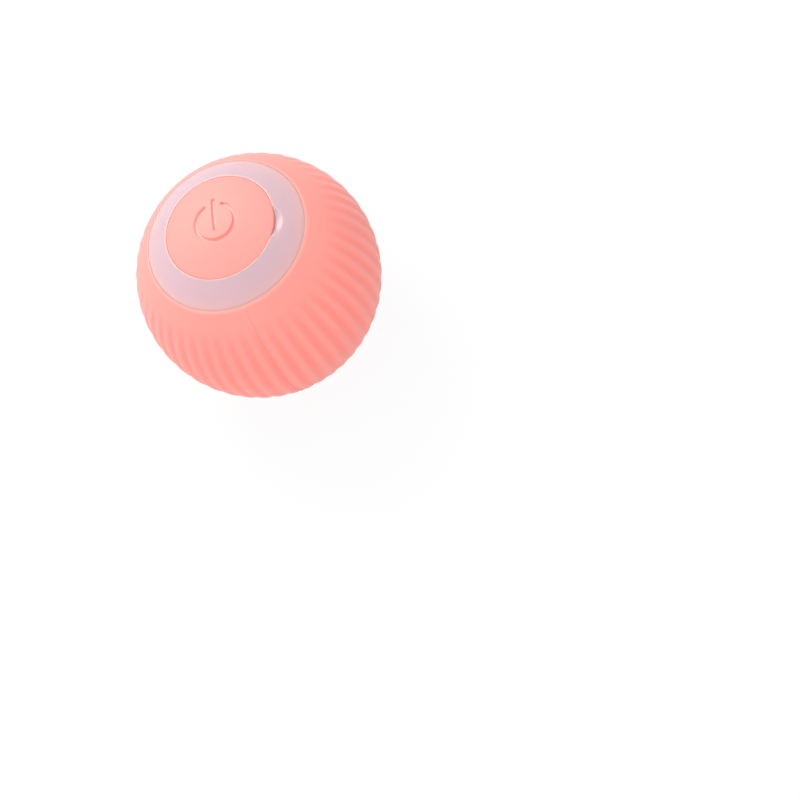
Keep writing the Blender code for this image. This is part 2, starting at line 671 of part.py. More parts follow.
def gear_outline(teeth):
    """A gear's outline with involute flanks and a little slack between the teeth. A
    tooth points along +X. The small gear's curved flanks get one more point."""
    pitch = GEAR_MODULE * teeth / 2
    base = pitch * math.cos(PRESSURE_ANGLE)
    tip = pitch + GEAR_MODULE * TOOTH_TOP_SHARE
    root = pitch - GEAR_MODULE * TOOTH_ROOT_SHARE
    half_tooth = math.pi / (2 * teeth) - TOOTH_SLACK / (2 * pitch)

    def half_width(radius):
        turn = math.acos(min(1.0, base / radius))
        involute = math.tan(turn) - turn
        return half_tooth + math.tan(PRESSURE_ANGLE) - PRESSURE_ANGLE - involute

    start = max(base, root)
    radii = (start, (start + tip) / 2, tip) if teeth < WHEEL_TEETH else (start, tip)
    flank = [(radius, half_width(radius)) for radius in radii]
    if root < base:
        flank.insert(0, (root, half_width(base)))
    outline = []
    for tooth in range(teeth):
        centre = math.tau * tooth / teeth
        outline += [polar(radius, centre - width) for radius, width in flank]
        outline += [polar(radius, centre + width) for radius, width in reversed(flank)]
    return outline


def meshing_turn(turn, teeth, next_teeth, bearing):
    """How far the next gear is turned so that its gap meets this gear's tooth."""
    return bearing + math.pi + math.pi / next_teeth - (turn - bearing) * teeth / next_teeth


def bearing_between(place, other):
    return math.atan2(other[1] - place[1], other[0] - place[0])


def face_recess(name, foot, top):
    """A shallow ring cut in a wheel's face, between its hub and its rim."""
    root = GEAR_MODULE * (WHEEL_TEETH / 2 - TOOTH_ROOT_SHARE)
    return ring(name, HUB_RADIUS, root - WHEEL_RIM_WIDTH, foot, top)


def compound_gear(name, place, turn, pinion_foot, wheel_foot, parent):
    """A wheel moulded in one piece with the pinion below it."""
    wheel_top = wheel_foot + WHEEL_THICKNESS
    made = extruded(name, gear_outline(WHEEL_TEETH), wheel_foot, wheel_top, NYLON, parent, place, turn)
    pinion = extruded(name + "_pinion", gear_outline(PINION_TEETH), pinion_foot,
                      wheel_foot + WHEEL_THICKNESS / 2, place=place, turn=turn)
    join(made, pinion)
    bore = rod(name + "_bore", GEAR_BORE, pinion_foot - OVERRUN, wheel_top + OVERRUN,
               facets=PIN_FACETS, place=place)
    boolean(made, bore)
    recess = face_recess(name + "_recess", wheel_top - WHEEL_RECESS_DEPTH, wheel_top + OVERRUN)
    recess.location = (*place, 0)
    return boolean(made, recess)


def gear_train():
    """Output wheel on the shell's axle, two compound gears and the motor's pinion,
    turned so that all of them are in mesh."""
    hub_top = AXLE_TOP
    wheel_top = OUTPUT_FOOT + WHEEL_THICKNESS
    output = extruded("output_gear", gear_outline(WHEEL_TEETH), OUTPUT_FOOT, wheel_top, NYLON, SHELL)
    join(output, rod("output_hub", HUB_RADIUS, OUTPUT_FOOT + WHEEL_THICKNESS / 2, hub_top))
    boolean(output, rod("output_bore", SHAFT_BORE, OUTPUT_FOOT - OVERRUN, hub_top + OVERRUN))
    boolean(output, face_recess("output_recess", wheel_top - WHEEL_RECESS_DEPTH, wheel_top + OVERRUN))

    turn_2 = meshing_turn(0, WHEEL_TEETH, PINION_TEETH, GEAR_2_BEARING)
    compound_gear("compound_gear_2", GEAR_2_PLACE, turn_2, OUTPUT_FOOT, PLANE_2_FOOT, GEAR_2)
    to_gear_1 = bearing_between(GEAR_2_PLACE, GEAR_1_PLACE)
    turn_1 = meshing_turn(turn_2, WHEEL_TEETH, PINION_TEETH, to_gear_1)
    compound_gear("compound_gear_1", GEAR_1_PLACE, turn_1, PLANE_2_FOOT, PLANE_1_FOOT, GEAR_1)
    to_motor = bearing_between(GEAR_1_PLACE, MOTOR_PLACE)
    turn_motor = meshing_turn(turn_1, WHEEL_TEETH, PINION_TEETH, to_motor)
    pinion_top = PLANE_1_FOOT + WHEEL_THICKNESS
    pinion = extruded("motor_pinion", gear_outline(PINION_TEETH), PLANE_1_FOOT, pinion_top,
                      BRASS, ROTOR, MOTOR_PLACE, turn_motor)
    boolean(pinion, rod("pinion_bore", MOTOR_SHAFT_RADIUS + PIN_GAP, PLANE_1_FOOT - OVERRUN,
                        pinion_top + OVERRUN, facets=PIN_FACETS, place=MOTOR_PLACE))
    rod("motor_shaft", MOTOR_SHAFT_RADIUS, PLANE_1_FOOT, SHAFT_TOP, STEEL, ROTOR, PIN_FACETS, MOTOR_PLACE)
    for number, place in ((1, GEAR_1_PLACE), (2, GEAR_2_PLACE)):
        rod(f"gear_arbor_{number}", ARBOR_RADIUS, BASE_FOOT, COVER_TOP, STEEL, CARRIAGE,
            PIN_FACETS, place)


# Carriage


def circle_places(radius, bearings):
    return [polar(radius, bearing) for bearing in bearings]


def screws(name, places, under_head, foot, flipped=False):
    """Pan head screws. The flipped ones are driven from below."""
    way = -1 if flipped else 1
    head_top = under_head + way * SCREW_HEAD_HEIGHT
    drive_floor = head_top - way * SCREW_DRIVE_DEPTH
    for number, place in enumerate(places, 1):
        profile = [(0, drive_floor), (SCREW_DRIVE_RADIUS, drive_floor),
                   (SCREW_DRIVE_RADIUS, head_top),
                   (SCREW_HEAD_RADIUS - SCREW_DRIVE_DEPTH, head_top),
                   (SCREW_HEAD_RADIUS, head_top - way * SCREW_DRIVE_DEPTH),
                   (SCREW_HEAD_RADIUS, under_head), (SCREW_RADIUS, under_head),
                   (SCREW_RADIUS, foot), (0, foot)]
        turned(f"{name}_{number}", profile, STEEL, CARRIAGE, SCREW_FACETS, place)


def gearbox_base():
    """The lower plate, with the posts that carry the cover and one arbor's spacer."""
    posts = circle_places(POST_CIRCLE, POST_BEARINGS)
    made = rod("gearbox_base", inside_radius(BASE_FOOT), BASE_FOOT, BASE_TOP, ACETAL, CARRIAGE,
               SEAT_FACETS)
    half_way = (BASE_FOOT + BASE_TOP) / 2
    join(made, rods("base_posts", posts, POST_RADIUS, half_way, COVER_FOOT - SEAT_GAP, PIN_FACETS))
    join(made, rods("base_spacer", [GEAR_1_PLACE], SPACER_RADIUS, half_way, PLANE_2_FOOT - SEAT_GAP,
                    PIN_FACETS))
    boolean(made, rods("base_screw_holes", posts, SCREW_BORE, BASE_FOOT - OVERRUN, COVER_FOOT + OVERRUN,
                       PIN_FACETS))
    boolean(made, rods("base_arbor_holes", [GEAR_1_PLACE, GEAR_2_PLACE], GEAR_BORE, BASE_FOOT - OVERRUN,
                       COVER_FOOT, PIN_FACETS))
    boolean(made, rods("base_bush_hole", [(0, 0)], BUSH_BODY_RADIUS + PIN_GAP, BASE_FOOT - OVERRUN,
                       BASE_TOP + OVERRUN))
    screws("cover_screw", posts, BASE_FOOT - SEAT_GAP, COVER_TOP - SEAT_GAP, flipped=True)
    profile = [(SHAFT_BORE, BASE_TOP), (BUSH_BODY_RADIUS, BASE_TOP),
               (BUSH_BODY_RADIUS, BASE_FOOT - SEAT_GAP), (BUSH_FLANGE_RADIUS, BASE_FOOT - SEAT_GAP),
               (BUSH_FLANGE_RADIUS, REAR_BUSH_FOOT), (SHAFT_BORE, REAR_BUSH_FOOT)]
    turned("rear_bush", profile, BRASS, CARRIAGE)
    return made


def gearbox_cover():
    """The upper plate of the gearbox. It holds the motor, the battery, the weight and
    the columns under the board."""
    posts = circle_places(POST_CIRCLE, POST_BEARINGS)
    columns = circle_places(COLUMN_CIRCLE, COLUMN_BEARINGS)
    half_way = (COVER_FOOT + COVER_TOP) / 2
    column_top = BOARD_FOOT - SEAT_GAP
    tray = (BATTERY_WIDTH + 2 * (SEAT_GAP + SEAT_WALL), BATTERY_THICKNESS + 2 * (SEAT_GAP + SEAT_WALL))
    room = (BATTERY_WIDTH + 2 * SEAT_GAP, BATTERY_THICKNESS + 2 * SEAT_GAP)
    tray_top = COVER_TOP + SEAT_HEIGHT
    made = rod("gearbox_cover", inside_radius(COVER_FOOT), COVER_FOOT, COVER_TOP, ACETAL, CARRIAGE,
               SEAT_FACETS)
    join(made, rods("cover_columns", columns, COLUMN_RADIUS, half_way, column_top, PIN_FACETS))
    join(made, rods("cover_spacer", [GEAR_2_PLACE], SPACER_RADIUS,
                    PLANE_2_FOOT + WHEEL_THICKNESS + SEAT_GAP, half_way, PIN_FACETS))
    join(made, rods("motor_seat", [MOTOR_PLACE], MOTOR_SEAT_BORE + SEAT_WALL, half_way, tray_top,
                    SEAT_FACETS))
    join(made, block("battery_tray", (*tray, tray_top - half_way),
                     (0, BATTERY_OFFSET, (tray_top + half_way) / 2)))
    boolean(made, rods("motor_room", [MOTOR_PLACE], MOTOR_SEAT_BORE, COVER_TOP, tray_top + OVERRUN,
                       SEAT_FACETS))
    boolean(made, block("battery_room", (*room, tray_top + OVERRUN - COVER_TOP),
                        (0, BATTERY_OFFSET, (tray_top + OVERRUN + COVER_TOP) / 2)))
    boolean(made, rods("motor_nose_hole", [MOTOR_PLACE], MOTOR_NOSE_RADIUS + SEAT_GAP,
                       COVER_FOOT - OVERRUN, COVER_TOP + OVERRUN))
    boolean(made, rods("cover_post_holes", posts, SCREW_BORE, COVER_FOOT - OVERRUN, COVER_TOP + OVERRUN,
                       PIN_FACETS))
    boolean(made, rods("cover_arbor_holes", [GEAR_1_PLACE, GEAR_2_PLACE], GEAR_BORE,
                       PLANE_2_FOOT, COVER_TOP + OVERRUN, PIN_FACETS))
    boolean(made, rods("cover_weight_holes", weight_screw_places(), SCREW_BORE, COVER_FOOT - OVERRUN,
                       COVER_TOP + OVERRUN, PIN_FACETS))
    return boolean(made, rods("column_holes", columns, SCREW_BORE,
                              column_top - COLUMN_SCREW_DEPTH - SEAT_GAP, column_top + OVERRUN, PIN_FACETS))


def cut_flats(target, foot, top):
    """Cuts the two flat sides of the motor."""
    flat = MOTOR_RADIUS * MOTOR_FLAT_SHARE
    size = (MOTOR_RADIUS, 2 * (MOTOR_RADIUS + OVERRUN), top - foot + 2 * OVERRUN)
    x, y = MOTOR_PLACE
    for side, name in ((1, "right"), (-1, "left")):
        centre = (x + side * (flat + MOTOR_RADIUS / 2), y, (foot + top) / 2)
        boolean(target, block(f"{target.name}_flat_{name}", size, centre))


def motor():
    """The can, flat on two sides, its front nose and the plastic end bell."""
    profile = [(0, MOTOR_TOP), (MOTOR_RADIUS, MOTOR_TOP), (MOTOR_RADIUS, MOTOR_FOOT + MOTOR_ROUND),
               (MOTOR_RADIUS - MOTOR_ROUND, MOTOR_FOOT), (MOTOR_NOSE_RADIUS, MOTOR_FOOT),
               (MOTOR_NOSE_RADIUS, COVER_FOOT + SEAT_GAP), (0, COVER_FOOT + SEAT_GAP)]
    can = turned("motor_can", profile, STEEL, CARRIAGE, SEAT_FACETS, MOTOR_PLACE)
    cut_flats(can, MOTOR_FOOT, MOTOR_TOP)
    boolean(can, rod("motor_shaft_room", MOTOR_SHAFT_RADIUS + PIN_GAP, COVER_FOOT - OVERRUN,
                     SHAFT_TOP + SEAT_GAP, facets=PIN_FACETS, place=MOTOR_PLACE))
    bell = rod("motor_end_bell", END_BELL_RADIUS, MOTOR_TOP + SEAT_GAP, END_BELL_TOP, NYLON, CARRIAGE,
               SEAT_FACETS, MOTOR_PLACE)
    cut_flats(bell, MOTOR_TOP + SEAT_GAP, END_BELL_TOP)


def battery():
    size = (BATTERY_WIDTH, BATTERY_THICKNESS, BATTERY_TOP - MOTOR_FOOT)
    centre = (0, BATTERY_OFFSET, (BATTERY_TOP + MOTOR_FOOT) / 2)
    block("battery_cell", size, centre, FOIL, CARRIAGE, edge=BATTERY_ROUND)


def leads():
    """Two short wires from the battery and two from the motor, up to the board."""
    sources = (("battery", (0, BATTERY_OFFSET), BATTERY_TOP), ("motor", MOTOR_PLACE, END_BELL_TOP))
    for source, (x, y), foot in sources:
        start = foot + SEAT_GAP
        rise = BOARD_FOOT - SEAT_GAP - start
        for side, colour, material in ((1, "red", RED_LEAD), (-1, "black", BLACK_LEAD)):
            route = []
            steps = 6
            for i in range(steps + 1):
                share = i / steps
                bow = LEAD_BOW_SHARE * rise * (1 - math.cos(math.tau * share)) / 2
                route.append((x + side * (LEAD_SPREAD + bow), y, start + rise * share))
            lead(f"{source}_lead_{colour}", route, material, CARRIAGE)


def weight_screw_places():
    bearings = (WEIGHT_BEARING + WEIGHT_SCREW_ANGLE, WEIGHT_BEARING - WEIGHT_SCREW_ANGLE)
    return circle_places(WEIGHT_CIRCLE, bearings)


def counterweight():
    """The steel crescent that keeps the carriage hanging while the shell rolls."""
    steps = 12
    outline = []
    for radius, way in ((WEIGHT_OUTSIDE, 1), (WEIGHT_INSIDE, -1)):
        for i in range(steps + 1):
            angle = way * WEIGHT_HALF_ANGLE * (2 * i / steps - 1)
            outline.append(polar(radius, WEIGHT_BEARING + angle))
    made = extruded("counterweight", outline, MOTOR_FOOT, WEIGHT_TOP, STEEL, CARRIAGE)
    boolean(made, rods("weight_holes", weight_screw_places(), SCREW_BORE, MOTOR_FOOT - OVERRUN,
                       WEIGHT_TOP + OVERRUN, PIN_FACETS))
    screws("weight_screw", weight_screw_places(), WEIGHT_TOP + SEAT_GAP, COVER_FOOT + SEAT_GAP)


# Board and what is on it


def main_board():
    columns = circle_places(COLUMN_CIRCLE, COLUMN_BEARINGS)
    made = rod("main_board", BOARD_RADIUS, BOARD_FOOT, BOARD_TOP, BOARD_GREEN, CARRIAGE, SEAT_FACETS)
    return boolean(made, rods("board_holes", columns, SCREW_BORE, BOARD_FOOT - OVERRUN,
                              BOARD_TOP + OVERRUN, PIN_FACETS))


def on_board_block(name, size, distance, bearing, material):
    x, y = polar(distance, bearing)
    block(name, size, (x, y, ON_BOARD + size[2] / 2), material, CARRIAGE, bearing)


def board_pieces():
    for number, bearing in enumerate(LED_BEARINGS, 1):
        on_board_block(f"led_{number}", (LED_DEPTH, LED_WIDTH, LED_HEIGHT), LED_CIRCLE, bearing, LAMP)
    on_board_block("controller_chip", (CHIP_WIDTH, CHIP_WIDTH, CHIP_HEIGHT), CHIP_CIRCLE, CHIP_BEARING,
                   CHIP_BLACK)
    on_board_block("charger_chip", (CHARGER_DEPTH, CHARGER_WIDTH, CHIP_HEIGHT), CHIP_CIRCLE,
                   CHARGER_BEARING, CHIP_BLACK)
    rod("motion_sensor", SENSOR_RADIUS, ON_BOARD, ON_BOARD + SENSOR_HEIGHT, STEEL, CARRIAGE,
        place=polar(CHIP_CIRCLE, SENSOR_BEARING))
    switch = block("key_switch", (SWITCH_WIDTH, SWITCH_DEPTH, SWITCH_HEIGHT),
                   (0, 0, ON_BOARD + SWITCH_HEIGHT / 2), STEEL, CARRIAGE)
    join(switch, rod("switch_nub", SWITCH_NUB_RADIUS, ON_BOARD + SWITCH_HEIGHT / 2, SWITCH_TOP))


def usb_socket():
    """An upright charging socket: a seamed metal shell with its tongue inside."""
    made = extruded("usb_socket", slot_outline(SOCKET_WIDTH, SOCKET_DEPTH, SOCKET_OFFSET),
                    ON_BOARD, SOCKET_TOP, STEEL, CARRIAGE)
    hollow = slot_outline(SOCKET_WIDTH - 2 * SOCKET_WALL, SOCKET_DEPTH - 2 * SOCKET_WALL, SOCKET_OFFSET)
    floor = ON_BOARD + SOCKET_BASE
    boolean(made, extruded("socket_hollow", hollow, floor, SOCKET_TOP + OVERRUN))
    foot = floor + SEAT_GAP
    top = SOCKET_TOP - TONGUE_SINK
    block("usb_tongue", (TONGUE_WIDTH, TONGUE_THICKNESS, top - foot),
          (0, SOCKET_OFFSET, (foot + top) / 2), CHIP_BLACK, CARRIAGE)


def port_deck():
    """The hub of the carriage: a tube that turns in the front bush, with the port
    plate across its top and a flange with three screw ears at its foot."""
    columns = circle_places(COLUMN_CIRCLE, COLUMN_BEARINGS)
    inside = HUB_TUBE_RADIUS - HUB_TUBE_WALL
    thrust_foot = THRUST_TOP - THRUST_HEIGHT
    profile = [(0, PORT_PLATE_TOP), (HUB_TUBE_RADIUS, PORT_PLATE_TOP), (HUB_TUBE_RADIUS, THRUST_TOP),
               (THRUST_RADIUS, THRUST_TOP), (THRUST_RADIUS, thrust_foot), (HUB_TUBE_RADIUS, thrust_foot),
               (HUB_TUBE_RADIUS, DECK_TOP), (DECK_RADIUS, DECK_TOP), (DECK_RADIUS, ON_BOARD),
               (inside, ON_BOARD), (inside, PORT_PLATE_FOOT), (0, PORT_PLATE_FOOT)]
    made = turned("port_deck", profile, NYLON, CARRIAGE, SEAT_FACETS)
    ears = rods("deck_ears", columns, EAR_RADIUS, ON_BOARD, DECK_TOP)
    join(made, ears)
    boolean(made, rods("deck_holes", columns, SCREW_BORE, ON_BOARD - OVERRUN, DECK_TOP + OVERRUN,
                       PIN_FACETS))
    mouth = slot_outline(SOCKET_WIDTH + 2 * SEAT_GAP, SOCKET_DEPTH + 2 * SEAT_GAP, SOCKET_OFFSET)
    boolean(made, extruded("port_mouth", mouth, PORT_PLATE_FOOT - OVERRUN, PORT_PLATE_TOP + OVERRUN))
    boolean(made, rod("key_hole", KEY_RADIUS + PIN_GAP, PORT_PLATE_FOOT - OVERRUN,
                      PORT_PLATE_TOP + OVERRUN))
    screws("deck_screw", columns, DECK_TOP + SEAT_GAP, BOARD_FOOT - COLUMN_SCREW_DEPTH)


def key_stem():
    """The key between the pusher and the switch. A flange keeps it under the plate."""
    flange_top = PORT_PLATE_FOOT - SEAT_GAP
    profile = [(0, KEY_TOP), (KEY_RADIUS, KEY_TOP), (KEY_RADIUS, flange_top),
               (KEY_FLANGE_RADIUS, flange_top), (KEY_FLANGE_RADIUS, flange_top - KEY_FLANGE_HEIGHT),
               (KEY_RADIUS, flange_top - KEY_FLANGE_HEIGHT), (KEY_RADIUS, KEY_FOOT), (0, KEY_FOOT)]
    turned("key_stem", profile, NYLON, KEY)


def main():
    bpy.context.view_layer.update()
    silicone_sleeve()
    front_shell()
    rear_shell()
    shell_bearings()
    button_cap()
    cap_plug()
    gear_train()
    gearbox_base()
    gearbox_cover()
    motor()
    battery()
    leads()
    counterweight()
    main_board()
    board_pieces()
    usb_socket()
    port_deck()
    key_stem()


main()
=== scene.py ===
# Self rolling cat ball: the fine sleeve, ring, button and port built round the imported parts
import json
import math

import bmesh
import bpy
from mathutils import Matrix, Vector


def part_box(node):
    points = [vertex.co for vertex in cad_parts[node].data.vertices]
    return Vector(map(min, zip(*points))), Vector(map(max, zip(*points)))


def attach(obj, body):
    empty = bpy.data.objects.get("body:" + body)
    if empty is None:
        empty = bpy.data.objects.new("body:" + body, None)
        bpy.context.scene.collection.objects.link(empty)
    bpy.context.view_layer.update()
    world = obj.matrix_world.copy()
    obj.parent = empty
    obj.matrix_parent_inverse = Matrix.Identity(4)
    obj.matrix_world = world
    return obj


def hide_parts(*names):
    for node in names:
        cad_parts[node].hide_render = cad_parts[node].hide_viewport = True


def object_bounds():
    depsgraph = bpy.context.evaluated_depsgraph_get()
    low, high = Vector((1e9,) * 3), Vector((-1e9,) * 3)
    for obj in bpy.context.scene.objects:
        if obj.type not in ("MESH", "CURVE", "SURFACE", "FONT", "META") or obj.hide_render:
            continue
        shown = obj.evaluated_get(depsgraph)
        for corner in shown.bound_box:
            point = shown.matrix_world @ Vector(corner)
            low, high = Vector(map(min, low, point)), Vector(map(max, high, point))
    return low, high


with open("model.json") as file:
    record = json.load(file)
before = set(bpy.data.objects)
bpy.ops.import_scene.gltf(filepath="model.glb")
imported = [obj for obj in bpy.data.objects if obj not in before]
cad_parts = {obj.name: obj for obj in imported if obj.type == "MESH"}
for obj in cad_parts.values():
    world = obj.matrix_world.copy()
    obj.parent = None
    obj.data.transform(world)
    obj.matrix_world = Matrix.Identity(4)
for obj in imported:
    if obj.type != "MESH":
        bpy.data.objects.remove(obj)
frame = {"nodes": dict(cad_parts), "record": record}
cadLow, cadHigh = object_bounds()
nodes = frame["nodes"]
print("frame loaded:", len(nodes), "nodes")


# the finishes

pattern = {
    "noiseRoughness": 0.55, "driftDetail": 3.0, "driftRange": (0.3, 0.7), "grainDetail": 4.0,
    "evenStretch": (1, 1, 1),
}


def makeNode(tree, kind, sockets=None, **settings):
    node = tree.nodes.new("ShaderNode" + kind)
    for name, value in settings.items():
        setattr(node, name, value)
    for name, value in (sockets or {}).items():
        node.inputs[name].default_value = value
    return node


def objectNoise(tree, scale, detail, stretch):
    # noise on the piece's own coordinates, its scale in cycles per metre
    place = makeNode(tree, "TexCoord")
    turn = makeNode(tree, "Mapping", {"Scale": stretch})
    noise = makeNode(tree, "TexNoise", {
        "Scale": scale, "Detail": detail, "Roughness": pattern["noiseRoughness"]})
    tree.links.new(place.outputs["Object"], turn.inputs["Vector"])
    tree.links.new(turn.outputs["Vector"], noise.inputs["Vector"])
    return noise


def makeMaterial(name, look):
    # a base colour that drifts a little, an uneven gloss and a fine grain
    material = bpy.data.materials.new(name)
    material.use_nodes = True
    material.diffuse_color = (*look["colour"], 1)
    tree = material.node_tree
    shader = tree.nodes["Principled BSDF"]
    for socket, value in look["sockets"].items():
        shader.inputs[socket].default_value = value

    stretch = look.get("stretch", pattern["evenStretch"])
    drift = objectNoise(tree, look["driftScale"], pattern["driftDetail"], stretch)
    ramp = makeNode(tree, "ValToRGB")
    stops = zip(ramp.color_ramp.elements, pattern["driftRange"], (look["driftColour"], look["colour"]))
    for stop, position, colour in stops:
        stop.position = position
        stop.color = (*colour, 1)
    tree.links.new(drift.outputs["Fac"], ramp.inputs["Fac"])
    tree.links.new(ramp.outputs["Color"], shader.inputs["Base Color"])

    smoothest, roughest = look["roughness"]
    gloss = makeNode(tree, "MapRange", {"To Min": smoothest, "To Max": roughest})
    tree.links.new(drift.outputs["Fac"], gloss.inputs["Value"])
    tree.links.new(gloss.outputs["Result"], shader.inputs["Roughness"])

    grain = objectNoise(tree, look["grainScale"], pattern["grainDetail"], stretch)
    bump = makeNode(tree, "Bump", {"Strength": 1.0, "Distance": look["grainDepth"]})
    tree.links.new(grain.outputs["Fac"], bump.inputs["Height"])
    tree.links.new(bump.outputs["Normal"], shader.inputs["Normal"])
    return material


coralLook = {
    "colour": (1.0, 0.326, 0.284), "driftColour": (0.98, 0.306, 0.265), "driftScale": 60,
    "roughness": (0.5, 0.62), "grainScale": 5200, "grainDepth": 0.000012,
    "sockets": {"IOR": 1.41, "Subsurface Weight": 0.12, "Subsurface Scale": 0.0008,
                "Subsurface Radius": (1.0, 0.4, 0.3), "Sheen Weight": 0.17, "Sheen Roughness": 0.42},
    # a painted highlight for the lip round the mouth
    # painted shade, darker in the grooves between the ribs
    "lipHighlightColour": (1.0, 0.435, 0.375), "grooveShadeColour": (0.99, 0.252, 0.214),
}
buttonLook = {
    "colour": (0.985, 0.332, 0.291), "driftColour": (0.965, 0.314, 0.275), "driftScale": 60,
    # painted shade for the symbol's sunk grooves
    "sunkShadeColour": (0.80, 0.46, 0.41),
    "roughness": (0.48, 0.6), "grainScale": 5200, "grainDepth": 0.000012,
    "sockets": {"IOR": 1.41, "Subsurface Weight": 0.08, "Subsurface Scale": 0.0004,
                "Subsurface Radius": (1.0, 0.4, 0.3), "Sheen Weight": 0.1, "Sheen Roughness": 0.45},
}
milkyLook = {
    "colour": (0.632, 0.434, 0.477), "driftColour": (0.612, 0.415, 0.462), "driftScale": 45,
    # painted coral reflection and painted light at the ring's outer edge
    "edgeReflectionColour": (0.87, 0.45, 0.42), "edgeReflectionReach": (0.0107, 0.0141), "edgeReflectionPower": 4,
    # a painted highlight for the rounded rim beside the button
    "rimHighlightColour": (0.80, 0.45, 0.44),
    "roughness": (0.3, 0.37), "grainScale": 2600, "grainDepth": 0.000006,
    "sockets": {"IOR": 1.49, "Subsurface Weight": 0.75, "Subsurface Scale": 0.0035,
                "Subsurface Radius": (1.0, 0.75, 0.8), "Coat Weight": 0.04, "Coat Roughness": 0.25},
}
nylonLook = {
    "colour": (0.83, 0.82, 0.78), "driftColour": (0.79, 0.775, 0.73), "driftScale": 90,
    "roughness": (0.4, 0.5), "grainScale": 6000, "grainDepth": 0.00001,
    "sockets": {"IOR": 1.53, "Subsurface Weight": 0.15, "Subsurface Scale": 0.0006},
}
acetalLook = {
    "colour": (0.035, 0.035, 0.04), "driftColour": (0.025, 0.025, 0.03), "driftScale": 120,
    "roughness": (0.35, 0.46), "grainScale": 5000, "grainDepth": 0.00001,
    "sockets": {"IOR": 1.48},
}
steelLook = {
    "colour": (0.62, 0.62, 0.63), "driftColour": (0.55, 0.55, 0.565), "driftScale": 260,
    "roughness": (0.24, 0.38), "grainScale": 1500, "grainDepth": 0.000006, "stretch": (1, 1, 9),
    "sockets": {"Metallic": 1.0},
}
brassLook = {
    "colour": (0.80, 0.60, 0.27), "driftColour": (0.70, 0.50, 0.20), "driftScale": 300,
    "roughness": (0.24, 0.36), "grainScale": 1800, "grainDepth": 0.000006, "stretch": (1, 1, 6),
    "sockets": {"Metallic": 1.0},
}
chipLook = {
    "colour": (0.022, 0.022, 0.024), "driftColour": (0.016, 0.016, 0.017), "driftScale": 500,
    "roughness": (0.45, 0.58), "grainScale": 9000, "grainDepth": 0.000012,
    "sockets": {"IOR": 1.55},
}
foilLook = {
    "colour": (0.74, 0.75, 0.77), "driftColour": (0.66, 0.67, 0.69), "driftScale": 160,
    "roughness": (0.28, 0.4), "grainScale": 420, "grainDepth": 0.00006,
    "sockets": {"Metallic": 1.0},
}
lampLook = {
    "colour": (0.95, 0.88, 0.70), "driftColour": (0.92, 0.83, 0.58), "driftScale": 400,
    "roughness": (0.16, 0.24), "grainScale": 3000, "grainDepth": 0.000005,
    "sockets": {"IOR": 1.5, "Transmission Weight": 0.35},
}
redLook = {
    "colour": (0.60, 0.03, 0.03), "driftColour": (0.52, 0.022, 0.022), "driftScale": 400,
    "roughness": (0.38, 0.5), "grainScale": 4000, "grainDepth": 0.000008,
    "sockets": {"IOR": 1.5},
}
blackLook = {
    "colour": (0.02, 0.02, 0.022), "driftColour": (0.014, 0.014, 0.015), "driftScale": 400,
    "roughness": (0.38, 0.5), "grainScale": 4000, "grainDepth": 0.000008,
    "sockets": {"IOR": 1.5},
}
goldLook = {
    "colour": (0.95, 0.72, 0.34), "driftColour": (0.88, 0.64, 0.28), "driftScale": 600,
    "roughness": (0.2, 0.3), "grainScale": 3000, "grainDepth": 0.000004,
    "sockets": {"Metallic": 1.0},
}
boardLook = {
    "colour": (0.018, 0.20, 0.085), "driftColour": (0.014, 0.17, 0.07), "driftScale": 200,
    "roughness": (0.28, 0.4), "grainScale": 3000, "grainDepth": 0.00001,
    "trackColour": (0.05, 0.34, 0.15), "trackSpacing": 0.0011, "trackWidthShare": 1 / 7, "trackRuns": 4,
    "trackSoftness": 0.1,
    "sockets": {"IOR": 1.5, "Coat Weight": 0.3},
}


mixShare, mixUnder, mixOver, mixResult = 0, 6, 7, 2  # a colour Mix node's sockets, whose names repeat


def layColour(material, share, colour):
    # lays another colour over the base colour, as far as the share says
    tree = material.node_tree
    base = tree.nodes["Principled BSDF"].inputs["Base Color"]
    mix = makeNode(tree, "Mix", data_type="RGBA")
    mix.inputs[mixOver].default_value = (*colour, 1)
    tree.links.new(share, mix.inputs[mixShare])
    tree.links.new(base.links[0].from_socket, mix.inputs[mixUnder])
    tree.links.new(mix.outputs[mixResult], base)


def tintWhere(material, attribute, colour):
    # lays the colour where the piece's own attribute says so
    where = makeNode(material.node_tree, "Attribute", attribute_name=attribute)
    layColour(material, where.outputs["Fac"], colour)


def makeMilkyMaterial(name, look):
    # painted reflection and painted light: the plastic is painted a lighter coral at the ring's outer
    # edge, for the silicone's coral light and against the shade in the crevice at the lip
    material = makeMaterial(name, look)
    tree = material.node_tree
    place = makeNode(tree, "TexCoord")
    flat = makeNode(tree, "VectorMath", {1: (1, 1, 0)}, operation="MULTIPLY")
    across = makeNode(tree, "VectorMath", operation="LENGTH")
    nearest, farthest = look["edgeReflectionReach"]
    outward = makeNode(tree, "MapRange", {"From Min": nearest, "From Max": farthest})
    edgeReflectionShare = makeNode(tree, "Math", {1: look["edgeReflectionPower"]}, operation="POWER")
    tree.links.new(place.outputs["Object"], flat.inputs[0])
    tree.links.new(flat.outputs["Vector"], across.inputs[0])
    tree.links.new(across.outputs["Value"], outward.inputs["Value"])
    tree.links.new(outward.outputs["Result"], edgeReflectionShare.inputs[0])
    layColour(material, edgeReflectionShare.outputs["Value"], look["edgeReflectionColour"])
    return material


def makeBoardMaterial(name, look):
    # solder mask with paler copper tracks under it, in staggered runs
    material = makeMaterial(name, look)
    tree = material.node_tree
    spacing = look["trackSpacing"]
    place = makeNode(tree, "TexCoord")
    tracks = makeNode(tree, "TexBrick", {
        "Scale": 1.0, "Row Height": spacing, "Brick Width": spacing * look["trackRuns"],
        "Mortar Size": spacing * look["trackWidthShare"], "Mortar Smooth": look["trackSoftness"]})
    tree.links.new(place.outputs["Object"], tracks.inputs["Vector"])
    layColour(material, tracks.outputs["Fac"], look["trackColour"])
    return material


